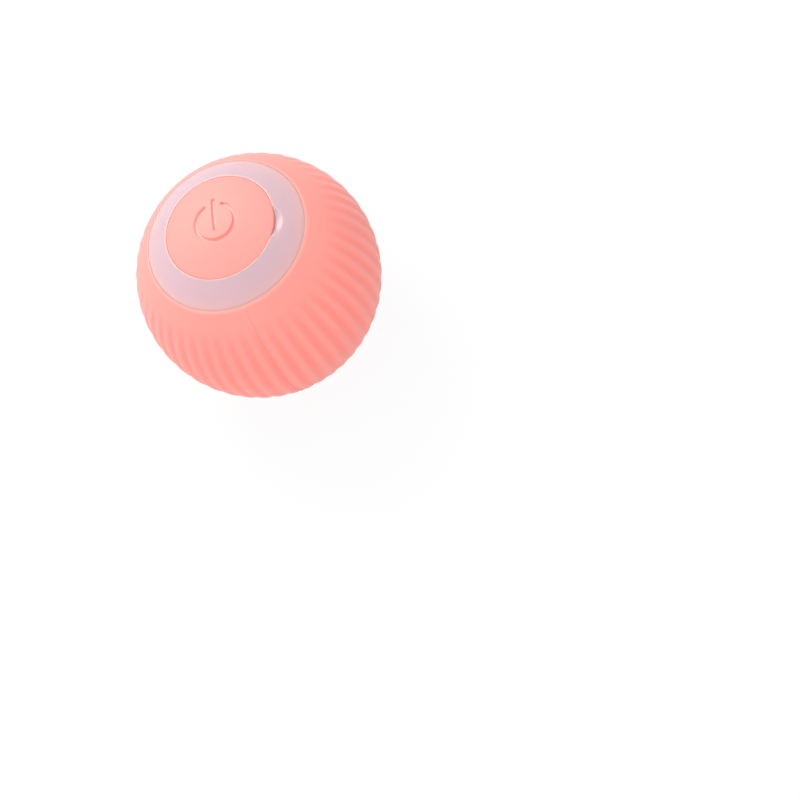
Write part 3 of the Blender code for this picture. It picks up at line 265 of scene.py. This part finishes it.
materials = {
    "coral_silicone": makeMaterial("coralSilicone", coralLook),
    "milky_plastic": makeMilkyMaterial("milkyPlastic", milkyLook),
    "white_nylon": makeMaterial("whiteNylon", nylonLook),
    "black_acetal": makeMaterial("blackAcetal", acetalLook),
    "steel": makeMaterial("brightSteel", steelLook),
    "brass": makeMaterial("turnedBrass", brassLook),
    "green_board": makeBoardMaterial("greenBoard", boardLook),
    "black_chip": makeMaterial("blackChip", chipLook),
    "battery_foil": makeMaterial("batteryFoil", foilLook),
    "led_resin": makeMaterial("lampResin", lampLook),
    "red_insulation": makeMaterial("redInsulation", redLook),
    "black_insulation": makeMaterial("blackInsulation", blackLook),
}
buttonMaterial = makeMaterial("buttonSilicone", buttonLook)
sleeveMaterial = makeMaterial("sleeveSilicone", coralLook)
ringMaterial = makeMilkyMaterial("ringPlastic", milkyLook)
goldMaterial = makeMaterial("contactGold", goldLook)
# painted shade, duller and less red in the symbol's grooves
tintWhere(buttonMaterial, "sunkShade", buttonLook["sunkShadeColour"])
# painted shade, darker in the sleeve's grooves
tintWhere(sleeveMaterial, "grooveShade", coralLook["grooveShadeColour"])
# painted highlight, paler on the sleeve's lip
tintWhere(sleeveMaterial, "lip", coralLook["lipHighlightColour"])
# painted highlight, brighter on the ring's rim beside the button
tintWhere(ringMaterial, "rim", milkyLook["rimHighlightColour"])


def dressNodes():
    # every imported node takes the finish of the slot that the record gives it
    for row in frame["record"]["subparts"]:
        for place in nodes[row["node"]].material_slots:
            place.material = materials[row["material_slot"]]


dressNodes()
print("materials made:", len(bpy.data.materials))


# helpers that make shapes

def arcPoints(radius, start, end, count, centreUp=0.0):
    # points on an arc centred on the axis, its angles in degrees from straight up
    points = []
    for i in range(count + 1):
        angle = math.radians(start + (end - start) * i / count)
        points.append((radius * math.sin(angle), centreUp + radius * math.cos(angle)))
    return points


def angleAt(radius, across):
    return math.degrees(math.asin(across / radius))


def heightAt(radius, across):
    return math.sqrt(radius * radius - across * across)


mergeDistance = 1e-7


def spinProfile(profile, steps, closed=True):
    # turns (across, up) points once round the axis
    shape = bmesh.new()
    points = [shape.verts.new((across, 0, up)) for across, up in profile]
    pairs = list(zip(points, points[1:]))
    if closed:
        pairs.append((points[-1], points[0]))
    edges = [shape.edges.new(pair) for pair in pairs]
    bmesh.ops.spin(shape, geom=points + edges, axis=(0, 0, 1), cent=(0, 0, 0),
                   angle=math.tau, steps=steps, use_merge=True)
    bmesh.ops.remove_doubles(shape, verts=shape.verts, dist=mergeDistance)
    bmesh.ops.recalc_face_normals(shape, faces=shape.faces)
    return shape


def roundRims(shape, rims, offset, segments):
    # bevels the circular edges that lie at these (across, up) places
    near = 1e-6
    chosen = []
    for edge in shape.edges:
        for across, up in rims:
            if all(abs(math.hypot(vert.co.x, vert.co.y) - across) < near
                   and abs(vert.co.z - up) < near for vert in edge.verts):
                chosen.append(edge)
    bmesh.ops.bevel(shape, geom=chosen, offset=offset, segments=segments, profile=0.5,
                    affect="EDGES", material=-1, clamp_overlap=True)


sharpFrom = {"hard": 35, "soft": 60}  # edges that turn by more degrees than this stay crisp


def shade(mesh, kind="hard"):
    mesh.shade_smooth()
    mesh.set_sharp_from_angle(angle=math.radians(sharpFrom[kind]))


def makeObject(shape, name, material=None, kind="hard"):
    mesh = bpy.data.meshes.new(name)
    shape.to_mesh(mesh)
    shape.free()
    shade(mesh, kind)
    if material:
        mesh.materials.append(material)
    made = bpy.data.objects.new(name, mesh)
    bpy.context.scene.collection.objects.link(made)
    return made


def clipShare(value):
    return min(1.0, max(0.0, value))


def markShare(piece, name, shareAt):
    # stores a share between 0 and 1 at every point, for the finish to read
    marks = piece.data.attributes.new(name, "FLOAT", "POINT")
    marks.data.foreach_set("value", [shareAt(vert.co) for vert in piece.data.vertices])


def settle(piece, body, slot, *replaced):
    # rides the piece on its body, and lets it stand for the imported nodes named
    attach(piece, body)
    if replaced:
        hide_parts(*replaced)


def combine(piece, helper, operation="DIFFERENCE"):
    # cuts or joins a helper shape, applied at once
    change = piece.modifiers.new("shape", "BOOLEAN")
    change.operation = operation
    change.solver = "EXACT"
    change.object = helper
    bpy.context.view_layer.update()
    seen = piece.evaluated_get(bpy.context.evaluated_depsgraph_get())
    result = bpy.data.meshes.new_from_object(seen)
    piece.modifiers.clear()
    piece.data = result
    bpy.data.objects.remove(helper)
    shade(result)


# the ribbed silicone sleeve

sleeve = {
    "outside": 0.0215, "inside": 0.0202, "rows": 66, "insideRows": 14,
    "mouth": 0.01412, "lipRound": 0.00008, "lipSteps": 5, "lipHighlightWidth": 0.00032,
    "innerLipShare": 1 / 3, "innerLipSteps": 2, "beadHeight": 0.00002, "beadWidth": 1.1,
    "ribs": 48, "columnsPerRib": 16, "ribDepth": 0.00023, "ribStart": 51.5, "ribFade": 10,
    "seamBearing": -84.75, "seamCrowd": 0.72, "seamRise": 2, "seamEnd": 12,
    "seamHeight": 0.00017, "farSeamHeight": 0.00006, "seamWidth": 0.00019,
    "nickDepth": 0.00012, "nickWidth": 0.00022, "nickReach": 1.5,
}


def ribShare(angle):
    # the ribs deepen from nothing at the smooth bands round both poles
    fromBand = min(angle, 180 - angle) - sleeve["ribStart"]
    return 1 - math.exp(-fromBand / sleeve["ribFade"]) if fromBand > 0 else 0.0


def grooveWave(turn):
    # 1 at the foot of a groove and 0 on a rib's crest; both seam lines run in a groove
    return (1 + math.cos(sleeve["ribs"] * turn)) / 2


def grooveShadeShareAt(place):
    # how deep in a groove a point lies, 0 on the smooth band, for the painted shade that darkens the
    # grooves
    angle = math.degrees(place.angle(Vector((0, 0, 1))))
    turn = math.atan2(place.y, place.x) - math.radians(sleeve["seamBearing"])
    return ribShare(angle) * grooveWave(turn)


def lipHighlightShareAt(place):
    # painted highlight: the thin lip round the mouth is painted paler, for the light its rounded edge
    # catches
    beyond = math.hypot(place.x, place.y) - sleeve["mouth"]
    return clipShare(1 - beyond / sleeve["lipHighlightWidth"]) if place.z > 0 else 0.0


def bell(distance, width):
    return math.exp(-(distance / width) ** 2)


def reliefAt(place, outerLip):
    # how far the outside stands out: the ribs, both seam lines, the lip's bead and the seam's nick in it
    across = math.hypot(place.x, place.y)
    angle = math.degrees(math.atan2(across, place.z))
    turn = math.atan2(place.y, place.x)
    fromLip = angle - outerLip
    nearSide = abs(turn) < math.pi / 2
    aside = across * min(abs(turn), math.pi - abs(turn))
    move = -sleeve["ribDepth"] * ribShare(angle) * grooveWave(turn)
    fade = clipShare(fromLip / sleeve["seamRise"]) * clipShare((180 - angle) / sleeve["seamEnd"])
    seam = sleeve["seamHeight"] if nearSide else sleeve["farSeamHeight"]
    move += seam * fade * bell(aside, sleeve["seamWidth"])
    move += sleeve["beadHeight"] * bell(fromLip, sleeve["beadWidth"])
    if fromLip < sleeve["nickReach"] and nearSide:
        move -= sleeve["nickDepth"] * bell(aside, sleeve["nickWidth"])
    return move


def crowdColumns(shape):
    # the columns crowd together at the two seam lines, which are finer than the ribs
    for vert in shape.verts:
        turn = math.atan2(vert.co.y, vert.co.x)
        shift = -sleeve["seamCrowd"] * math.sin(2 * turn) / 2
        vert.co.rotate(Matrix.Rotation(shift, 3, "Z"))


def makeSleeve():
    outside, inside, mouth = sleeve["outside"], sleeve["inside"], sleeve["mouth"]
    outerLip = angleAt(outside, mouth)
    innerLip = angleAt(inside, mouth)
    outer = arcPoints(outside, outerLip, 180, sleeve["rows"])
    inner = arcPoints(inside, 180, innerLip, sleeve["insideRows"])
    outer[-1] = (0, -outside)
    inner[0] = (0, -inside)
    # the wall closes at the mouth, so the profile is one open line from pole to pole
    shape = spinProfile(inner + outer, sleeve["ribs"] * sleeve["columnsPerRib"], closed=False)
    roundRims(shape, [outer[0]], sleeve["lipRound"], sleeve["lipSteps"])
    roundRims(shape, [inner[-1]], sleeve["lipRound"] * sleeve["innerLipShare"], sleeve["innerLipSteps"])
    crowdColumns(shape)
    for vert in shape.verts:
        if vert.co.length >= (outside + inside) / 2:
            vert.co += vert.co.normalized() * reliefAt(vert.co, outerLip)
    bmesh.ops.rotate(shape, verts=shape.verts, cent=(0, 0, 0),
                     matrix=Matrix.Rotation(math.radians(sleeve["seamBearing"]), 3, "Z"))
    piece = makeObject(shape, "ribbedSleeve", sleeveMaterial, "soft")
    # marks for the painted shade in the grooves
    markShare(piece, "grooveShade", grooveShadeShareAt)
    # marks for the painted highlight on the lip
    markShare(piece, "lip", lipHighlightShareAt)
    settle(piece, "shell", "coral_silicone", "silicone_sleeve")


makeSleeve()
print("sleeve made")


# the milky ring, one piece with the front half of the shell

shell = {
    "ringRadius": 0.02146, "mouthGap": 0.000005, "outside": 0.0199, "cavity": 0.0186,
    "lapLength": 0.0015, "lapWall": 0.0005, "collarWall": 0.001, "collarDrop": 0.0028,
    "rimRound": 0.00024, "rimSteps": 4, "rimHighlightReach": 1.6, "rimHighlightAbove": 0.0012,
    "steps": 192, "ringRows": 10, "wallRows": 16,
}
notch = {
    "bearing": -10.75, "width": 0.0063, "reach": 0.0017, "depth": 0.0009, "columns": 96, "rows": 64,
}
well = {"buttonRoom": 0.00011, "bushRoom": 0.00015, "plugBelow": 0.0013}
well["radius"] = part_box("button_cap")[1].x + well["buttonRoom"]
well["bore"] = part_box("front_bush")[1].x + well["bushRoom"]
well["floor"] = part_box("cap_plug")[0].z + well["plugBelow"]


def makeShell():
    ring, outside, cavity = shell["ringRadius"], shell["outside"], shell["cavity"]
    edge = sleeve["mouth"] - shell["mouthGap"]
    bore, floor = well["bore"], well["floor"]
    collar = bore + shell["collarWall"]
    collarFoot = floor - shell["collarDrop"]
    lap = cavity + shell["lapWall"]
    # from the well's floor over the ring, down the outside and back up the cavity to the collar
    ringArc = arcPoints(ring, angleAt(ring, well["radius"]), angleAt(ring, edge), shell["ringRows"])
    profile = [(bore, floor), (well["radius"], floor)] + ringArc
    profile += arcPoints(outside, angleAt(outside, edge), 90, shell["wallRows"])
    profile += [(lap, 0), (lap, -shell["lapLength"]), (cavity, -shell["lapLength"])]
    profile += arcPoints(cavity, 90, angleAt(cavity, collar), shell["wallRows"])
    profile += [(collar, collarFoot), (bore, collarFoot)]
    shape = spinProfile(profile, shell["steps"])
    roundRims(shape, [ringArc[0]], shell["rimRound"], shell["rimSteps"])
    piece = makeObject(shape, "milkyShell", ringMaterial)
    combine(piece, notchScoop())
    # marks for the painted highlight on the rim
    markShare(piece, "rim", rimHighlightShareAt)
    settle(piece, "shell", "milky_plastic", "front_shell")


def rimHighlightShareAt(place):
    # painted highlight: the rounded rim beside the button is painted brighter, for the light it catches
    beyond = math.hypot(place.x, place.y) - well["radius"]
    high = place.z > well["floor"] + shell["rimHighlightAbove"]
    return clipShare(shell["rimHighlightReach"] - beyond / shell["rimRound"]) if high else 0.0


def notchScoop():
    # a ball that cuts a thumbnail crescent from the ring beside the button
    half = notch["width"] / 2
    reach, depth = notch["reach"], notch["depth"]
    inward = (half * half - reach * reach) / (2 * reach)
    above = (half * half - depth * depth) / (2 * depth)
    ball = math.hypot(inward + reach, above)
    # the ring slopes away from the button, so the ball's centre is set out square to its face
    slope = math.asin(well["radius"] / shell["ringRadius"])
    across = well["radius"] - inward * math.cos(slope) + above * math.sin(slope)
    rim = heightAt(shell["ringRadius"], well["radius"])
    up = rim + inward * math.sin(slope) + above * math.cos(slope)
    bearing = math.radians(notch["bearing"])
    centre = Vector((across * math.cos(bearing), across * math.sin(bearing), up))
    shape = bmesh.new()
    bmesh.ops.create_uvsphere(shape, u_segments=notch["columns"], v_segments=notch["rows"], radius=ball,
                              matrix=Matrix.Translation(centre))
    return makeObject(shape, "notchScoop")


makeShell()
print("shell made")


# the silicone button with its sunk power symbol

button = {
    "growth": 0.00008, "crown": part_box("button_cap")[1].z, "foot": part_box("button_cap")[0].z,
    "edgeSink": 0.00024, "edgeHeight": 0.001, "edgeRound": 0.00011, "edgeSteps": 5,
    "footRound": 0.000055, "footSteps": 2,
    "wall": 0.0008, "rimWall": 0.0006, "pusher": 0.0014, "pusherTip": 0.001,
    "steps": 360, "fineTo": 0.0052, "fineRow": 0.00006, "coarseRows": 14, "insideRows": 10,
}
symbol = {
    "ringRadius": 0.00347, "ringHalf": 0.00029, "gap": 28, "barTop": 0.0046, "barFoot": -0.0018,
    "barHalf": 0.00028, "wall": 0.00012, "depth": 0.0005, "turn": -1.25, "faceDepth": 0.0015,
}


def fromSymbol(x, y):
    # how far a point on the button lies outside the symbol's grooves
    turn = math.radians(symbol["turn"])
    x, y = x * math.cos(turn) + y * math.sin(turn), y * math.cos(turn) - x * math.sin(turn)
    across = math.hypot(x, y)
    offBar = abs(math.degrees(math.atan2(x, y)))
    if offBar > symbol["gap"]:
        fromRing = abs(across - symbol["ringRadius"])
    else:
        gap = math.radians(symbol["gap"])
        endX, endY = symbol["ringRadius"] * math.sin(gap), symbol["ringRadius"] * math.cos(gap)
        fromRing = math.hypot(abs(x) - endX, y - endY)
    onBar = min(symbol["barTop"] - symbol["barHalf"], max(symbol["barFoot"] + symbol["barHalf"], y))
    fromBar = math.hypot(x, y - onBar)
    return min(fromRing - symbol["ringHalf"], fromBar - symbol["barHalf"])


def sunkShadeShareAt(place):
    # painted shade: the symbol's sunk grooves on the button's face take a duller, less red colour for
    # their shade; only the face is sunk, so what lies deeper gets 0
    high = place.z > button["crown"] - symbol["faceDepth"]
    return sunkShare(fromSymbol(place.x, place.y)) if high else 0.0


def sunkShare(outside):
    # 1 on the groove's floor, 0 on the button's face, a soft wall between
    share = clipShare(0.5 - outside / symbol["wall"])
    return share * share * (3 - 2 * share)


def makeButton():
    radius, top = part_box("button_cap")[1].x + button["growth"], button["crown"]
    edgeTop = heightAt(sleeve["outside"], radius) - button["edgeSink"]
    # the crown is part of a sphere through the button's edge and its top
    rise = top - edgeTop
    crown = (radius ** 2 + rise ** 2) / (2 * rise)
    middle = top - crown
    inside = crown - button["wall"]
    rimInside = radius - button["rimWall"]
    rimFoot = edgeTop - button["edgeHeight"]
    fineAngle = angleAt(crown, button["fineTo"])
    fineRows = round(button["fineTo"] / button["fineRow"])
    outer = arcPoints(crown, 0, fineAngle, fineRows, middle)
    outer += arcPoints(crown, fineAngle, angleAt(crown, radius), button["coarseRows"], middle)[1:]
    inner = arcPoints(inside, angleAt(inside, rimInside), angleAt(inside, button["pusher"]),
                      button["insideRows"], middle)
    profile = outer + [(radius, rimFoot), (rimInside, rimFoot)] + inner
    profile += [(button["pusherTip"], button["foot"]), (0, button["foot"])]
    shape = spinProfile(profile, button["steps"], closed=False)
    roundRims(shape, [outer[-1]], button["edgeRound"], button["edgeSteps"])
    roundRims(shape, [(radius, rimFoot)], button["footRound"], button["footSteps"])
    for vert in shape.verts:
        across = math.hypot(vert.co.x, vert.co.y)
        if across < button["fineTo"] and vert.co.z > edgeTop:
            share = sunkShare(fromSymbol(vert.co.x, vert.co.y))
            way = (vert.co - Vector((0, 0, middle))).normalized()
            vert.co -= way * symbol["depth"] * share
    piece = makeObject(shape, "powerButton", buttonMaterial, "soft")
    # marks where the symbol's grooves get their painted shade
    markShare(piece, "sunkShade", sunkShadeShareAt)
    settle(piece, "button", "coral_silicone", "button_cap")


makeButton()
print("button made")


# the port and what lies round it, seen when the cap is lifted

bush = {"wall": 0.001, "gap": 0.00015, "edge": 0.00012, "edgeSteps": 3}
port = {
    "tube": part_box("front_bush")[1].x - bush["wall"] - bush["gap"], "tubeWall": 0.0006, "plate": 0.0008,
    "thrustGap": 0.0003, "thrustReach": 0.001, "thrust": 0.0007, "deck": 0.001,
    "earRadius": 0.0019, "earOverlap": 0.0008, "screwHole": 0.00065, "screwOverrun": 0.001,
    "keyHole": 0.0011, "keyHoleSteps": 64, "overrun": 0.0005, "mouthRoom": 0.0003, "mouthFlare": 0.00025,
    "rimRound": 0.00018, "rimSteps": 4, "steps": 192,
}
socket = {"wall": 0.0003, "floor": 0.001, "lipRound": 0.00012, "lipBend": 1 / 3, "segments": 46}
tongue = {"edge": 0.00009, "edgeSteps": 3}
contacts = {
    "perSide": 12, "pitch": 0.0005, "width": 0.00026, "length": 0.0036, "height": 0.00003,
    "topSink": 0.0007,
}
plug = {
    "skirtWall": 0.0006, "skirtGap": 0.00015, "flange": 0.0004, "bead": 0.0001, "beadRise": 0.0005,
    "beadHalf": 0.0002, "edge": 0.0001, "edgeSteps": 3, "steps": 192,
}
key = {
    "radius": 0.00095, "flange": 0.0006, "flangeGap": 0.0003, "edge": 0.00015, "edgeSteps": 4,
    "steps": 96,
}


def middleOf(name):
    low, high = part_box(name)
    return (low + high) / 2


def stackSlots(width, depth, middleY, levels):
    # joins slots with round ends, each level given as how much it grows and how high it lies
    shape = bmesh.new()
    segments = socket["segments"]
    rows = []
    for grow, up in levels:
        place = Matrix.Translation((0, middleY, up)) @ Matrix.Rotation(math.pi / segments, 4, "Z")
        circle = bmesh.ops.create_circle(shape, segments=segments, radius=depth / 2 + grow, matrix=place)
        row = circle["verts"]
        for vert in row:
            vert.co.x += math.copysign((width - depth) / 2, vert.co.x)
        rows.append(list(dict.fromkeys(edge for vert in row for edge in vert.link_edges)))
    for row, above in zip(rows, rows[1:]):
        bmesh.ops.bridge_loops(shape, edges=row + above)
    bmesh.ops.edgeloop_fill(shape, edges=rows[0])
    bmesh.ops.edgeloop_fill(shape, edges=rows[-1])
    bmesh.ops.recalc_face_normals(shape, faces=shape.faces)
    return shape


def uprightRods(places, radius, foot, top, segments=48):
    # one helper shape of several rods, to cut or join at once
    shape = bmesh.new()
    for x, y in places:
        bmesh.ops.create_cone(shape, cap_ends=True, segments=segments, radius1=radius, radius2=radius,
                              depth=top - foot, matrix=Matrix.Translation((x, y, (foot + top) / 2)))
    return makeObject(shape, "rods")


def makePort():
    low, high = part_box("port_deck")
    tube, inside = port["tube"], port["tube"] - port["tubeWall"]
    screws = [middleOf(f"deck_screw_{number}").xy for number in (1, 2, 3)]
    deck = screws[0].length - port["earRadius"] + port["earOverlap"]
    deckTop = low.z + port["deck"]
    plateFoot = high.z - port["plate"]
    thrust = tube + port["thrustReach"]
    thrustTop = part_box("front_bush")[0].z - port["thrustGap"]
    thrustFoot = thrustTop - port["thrust"]
    profile = [(0, high.z), (tube, high.z), (tube, thrustTop), (thrust, thrustTop), (thrust, thrustFoot),
               (tube, thrustFoot), (tube, deckTop), (deck, deckTop), (deck, low.z), (inside, low.z),
               (inside, plateFoot), (0, plateFoot)]
    shape = spinProfile(profile, port["steps"], closed=False)
    roundRims(shape, [(tube, high.z)], port["rimRound"], port["rimSteps"])
    piece = makeObject(shape, "portHub", materials["white_nylon"])
    combine(piece, uprightRods(screws, port["earRadius"], low.z, deckTop), "UNION")
    beyond, past = port["overrun"], port["screwOverrun"]
    combine(piece, uprightRods(screws, port["screwHole"], low.z - past, deckTop + past))
    combine(piece, uprightRods([(0, 0)], port["keyHole"], plateFoot - beyond, high.z + beyond,
                               port["keyHoleSteps"]))
    mouthLow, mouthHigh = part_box("usb_socket")
    spare, flare = 2 * port["mouthRoom"], port["mouthFlare"]
    levels = [(0, plateFoot - beyond), (0, high.z - flare), (flare, high.z), (flare, high.z + beyond)]
    cutter = stackSlots(mouthHigh.x - mouthLow.x + spare, mouthHigh.y - mouthLow.y + spare,
                        middleOf("usb_socket").y, levels)
    combine(piece, makeObject(cutter, "portMouth"))
    settle(piece, "carriage", "white_nylon", "port_deck")


def makeSocket():
    low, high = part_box("usb_socket")
    wall, lip = socket["wall"], socket["lipRound"]
    bend = lip * socket["lipBend"]
    levels = [(0, low.z), (0, high.z - lip), (-bend, high.z - bend), (-lip, high.z),
              (lip - wall, high.z), (bend - wall, high.z - bend), (-wall, high.z - lip),
              (-wall, low.z + socket["floor"])]
    shape = stackSlots(high.x - low.x, high.y - low.y, middleOf("usb_socket").y, levels)
    settle(makeObject(shape, "socketShell", materials["steel"]), "carriage", "steel", "usb_socket")


def makeTongue():
    low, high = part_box("usb_tongue")
    shape = bmesh.new()
    bmesh.ops.create_cube(shape, size=1)
    bmesh.ops.scale(shape, vec=high - low, verts=shape.verts)
    bmesh.ops.translate(shape, vec=middleOf("usb_tongue"), verts=shape.verts)
    bmesh.ops.bevel(shape, geom=shape.edges[:], offset=tongue["edge"], segments=tongue["edgeSteps"],
                    profile=0.5, affect="EDGES", material=-1)
    piece = makeObject(shape, "socketTongue", materials["black_chip"])
    settle(piece, "carriage", "black_chip", "usb_tongue")


def makeContacts():
    # gold strips, half sunk in both faces of the tongue
    low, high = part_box("usb_tongue")
    size = (contacts["width"], 2 * contacts["height"], contacts["length"])
    middle = high.z - contacts["topSink"] - contacts["length"] / 2
    reach = (contacts["perSide"] - 1) / 2
    shape = bmesh.new()
    for face in (low.y, high.y):
        for i in range(contacts["perSide"]):
            place = Vector(((i - reach) * contacts["pitch"], face, middle))
            bmesh.ops.create_cube(shape, size=1, matrix=Matrix.LocRotScale(place, None, size))
    settle(makeObject(shape, "tongueContacts", goldMaterial), "carriage", "brass")


def makePlug():
    low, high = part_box("cap_plug")
    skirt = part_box("front_bush")[1].x - plug["skirtGap"]
    inside = skirt - plug["skirtWall"]
    flangeFoot = high.z - plug["flange"]
    bead, beadHalf = low.z + plug["beadRise"], plug["beadHalf"]
    beadTip = (skirt + plug["bead"], bead)
    profile = [(inside, high.z), (high.x, high.z), (high.x, flangeFoot), (skirt, flangeFoot),
               (skirt, bead + beadHalf), beadTip, (skirt, bead - beadHalf), (skirt, low.z),
               (inside, low.z)]
    shape = spinProfile(profile, plug["steps"])
    rims = [(skirt, low.z), (inside, low.z), (high.x, flangeFoot), beadTip]
    roundRims(shape, rims, plug["edge"], plug["edgeSteps"])
    settle(makeObject(shape, "plugRing", materials["white_nylon"]), "cap", "white_nylon", "cap_plug")


def makeKey():
    low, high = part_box("key_stem")
    radius = key["radius"]
    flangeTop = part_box("port_deck")[1].z - port["plate"] - key["flangeGap"]
    flangeFoot = flangeTop - key["flange"]
    profile = [(0, high.z), (radius, high.z), (radius, flangeTop), (high.x, flangeTop),
               (high.x, flangeFoot), (radius, flangeFoot), (radius, low.z), (0, low.z)]
    shape = spinProfile(profile, key["steps"], closed=False)
    roundRims(shape, [(radius, high.z)], key["edge"], key["edgeSteps"])
    settle(makeObject(shape, "keyPin", materials["white_nylon"]), "key", "white_nylon", "key_stem")


def makeBush():
    low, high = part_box("front_bush")
    bore = port["tube"] + bush["gap"]
    profile = [(bore, high.z), (high.x, high.z), (high.x, low.z), (bore, low.z)]
    shape = spinProfile(profile, port["steps"])
    roundRims(shape, [(bore, high.z), (high.x, high.z)], bush["edge"], bush["edgeSteps"])
    settle(makeObject(shape, "hubBush", materials["black_acetal"]), "shell", "black_acetal", "front_bush")


makePort()
makeSocket()
makeTongue()
makeContacts()
makePlug()
makeKey()
makeBush()
print("port made")


# camera, light and floor

view = {
    "bearing": -62.75, "elevation": 56.6, "lean": 39.6, "distance": 0.3262,
    "lens": 83.0, "sensor": 36.0, "ballPixel": (259.6, 275.8), "picture": 800,
    "nearest": 0.01, "farthest": 20,
}


def photoAxes():
    # right, up and towards the camera, as the photo shows the ball
    bearing, elevation = math.radians(view["bearing"]), math.radians(view["elevation"])
    toward = Vector((math.cos(bearing) * math.cos(elevation), math.sin(bearing) * math.cos(elevation),
                     math.sin(elevation)))
    upright = (Vector((0, 0, 1)) - toward * toward.z).normalized()
    up = Matrix.Rotation(-math.radians(view["lean"]), 3, toward) @ upright
    return up.cross(toward), up, toward


def makeCamera():
    # the ball sits above and left of the picture's middle, so the camera looks past it
    data = bpy.data.cameras.new("photoCamera")
    data.lens, data.sensor_width = view["lens"], view["sensor"]
    data.clip_start, data.clip_end = view["nearest"], view["farthest"]
    right, up, toward = photoAxes()
    focal = view["lens"] / view["sensor"] * view["picture"]
    aside = view["ballPixel"][0] - view["picture"] / 2
    below = view["ballPixel"][1] - view["picture"] / 2
    ahead = (-toward * focal - right * aside + up * below).normalized()
    lean = (-toward).rotation_difference(ahead)
    axes = Matrix((lean @ right, lean @ up, -ahead)).transposed()
    camera = bpy.data.objects.new("photoCamera", data)
    camera.matrix_world = Matrix.Translation(toward * view["distance"]) @ axes.to_4x4()
    bpy.context.scene.collection.objects.link(camera)
    bpy.context.scene.camera = camera


lamps = {
    "key": {"toward": (-0.6, 0.78, 0.3), "distance": 0.55, "size": 0.3, "power": 1.7, "shine": True},
    "side": {"toward": (-0.97, 0.0, 0.15), "distance": 0.55, "size": 0.3, "power": 0.26, "shine": False},
    "fill": {"toward": (0.0, -0.5, 0.85), "distance": 0.6, "size": 0.3, "power": 0.75, "shine": False},
}


def makeLamps():
    # each lamp's direction is given as right, up and towards the camera, as the photo shows it
    axes = photoAxes()
    for name, lamp in lamps.items():
        way = sum((axis * share for axis, share in zip(axes, lamp["toward"])), Vector()).normalized()
        data = bpy.data.lights.new(name + "Lamp", "AREA")
        data.shape = "DISK"
        data.size = lamp["size"]
        data.energy = lamp["power"]
        made = bpy.data.objects.new(name + "Lamp", data)
        made.location = way * lamp["distance"]
        made.visible_glossy = lamp["shine"]
        made.rotation_mode = "QUATERNION"
        made.rotation_quaternion = way.to_track_quat("Z", "Y")
        bpy.context.scene.collection.objects.link(made)


room = {
    "lightStrength": 0.91, "floorColour": (0.6, 0.6, 0.6), "floorRoughness": 0.9, "floorHalf": 2.0,
    "floorWhiteShare": 0.9, "floorWhite": 1.03,
}


def seenDirectly(tree):
    # 1 for rays from the camera, and for those that gloss or glass sends on
    path = makeNode(tree, "LightPath")
    seen = path.outputs["Is Camera Ray"]
    for kind in ("Is Glossy Ray", "Is Transmission Ray"):
        larger = makeNode(tree, "Math", operation="MAXIMUM")
        tree.links.new(seen, larger.inputs[0])
        tree.links.new(path.outputs[kind], larger.inputs[1])
        seen = larger.outputs["Value"]
    return seen


def makeWorld():
    # white where it is seen, and a little dimmer as a light
    world = bpy.data.worlds.new("studio")
    bpy.context.scene.world = world
    world.use_nodes = True
    tree = world.node_tree
    background = tree.nodes["Background"]
    background.inputs["Color"].default_value = (1, 1, 1, 1)
    strength = makeNode(tree, "MapRange", {"To Min": room["lightStrength"], "To Max": 1.0})
    tree.links.new(seenDirectly(tree), strength.inputs["Value"])
    tree.links.new(strength.outputs["Result"], background.inputs["Strength"])


def makePaperMaterial():
    # nearly all white where it is seen, so only a faint shadow shows, and pale grey as a light
    material = bpy.data.materials.new("palePaper")
    material.use_nodes = True
    tree = material.node_tree
    shader = tree.nodes["Principled BSDF"]
    shader.inputs["Base Color"].default_value = (*room["floorColour"], 1)
    shader.inputs["Roughness"].default_value = room["floorRoughness"]
    shader.inputs["Specular IOR Level"].default_value = 0.0
    white = makeNode(tree, "Emission", {"Color": (1, 1, 1, 1), "Strength": room["floorWhite"]})
    share = makeNode(tree, "Math", {1: room["floorWhiteShare"]}, operation="MULTIPLY")
    mix = makeNode(tree, "MixShader")
    tree.links.new(seenDirectly(tree), share.inputs[0])
    # a shader mix takes its share, what lies under and what lies over, in that order
    for number, part in enumerate((share, shader, white)):
        tree.links.new(part.outputs[0], mix.inputs[number])
    tree.links.new(mix.outputs[0], tree.nodes["Material Output"].inputs["Surface"])
    return material


def makeFloor():
    shape = bmesh.new()
    bmesh.ops.create_grid(shape, x_segments=1, y_segments=1, size=room["floorHalf"],
                          matrix=Matrix.Translation((0, 0, cadLow.z)))
    makeObject(shape, "studioFloor", makePaperMaterial())


makeCamera()
makeLamps()
makeWorld()
makeFloor()
bpy.context.scene.view_settings.view_transform = "Standard"
print("camera, light and floor made")
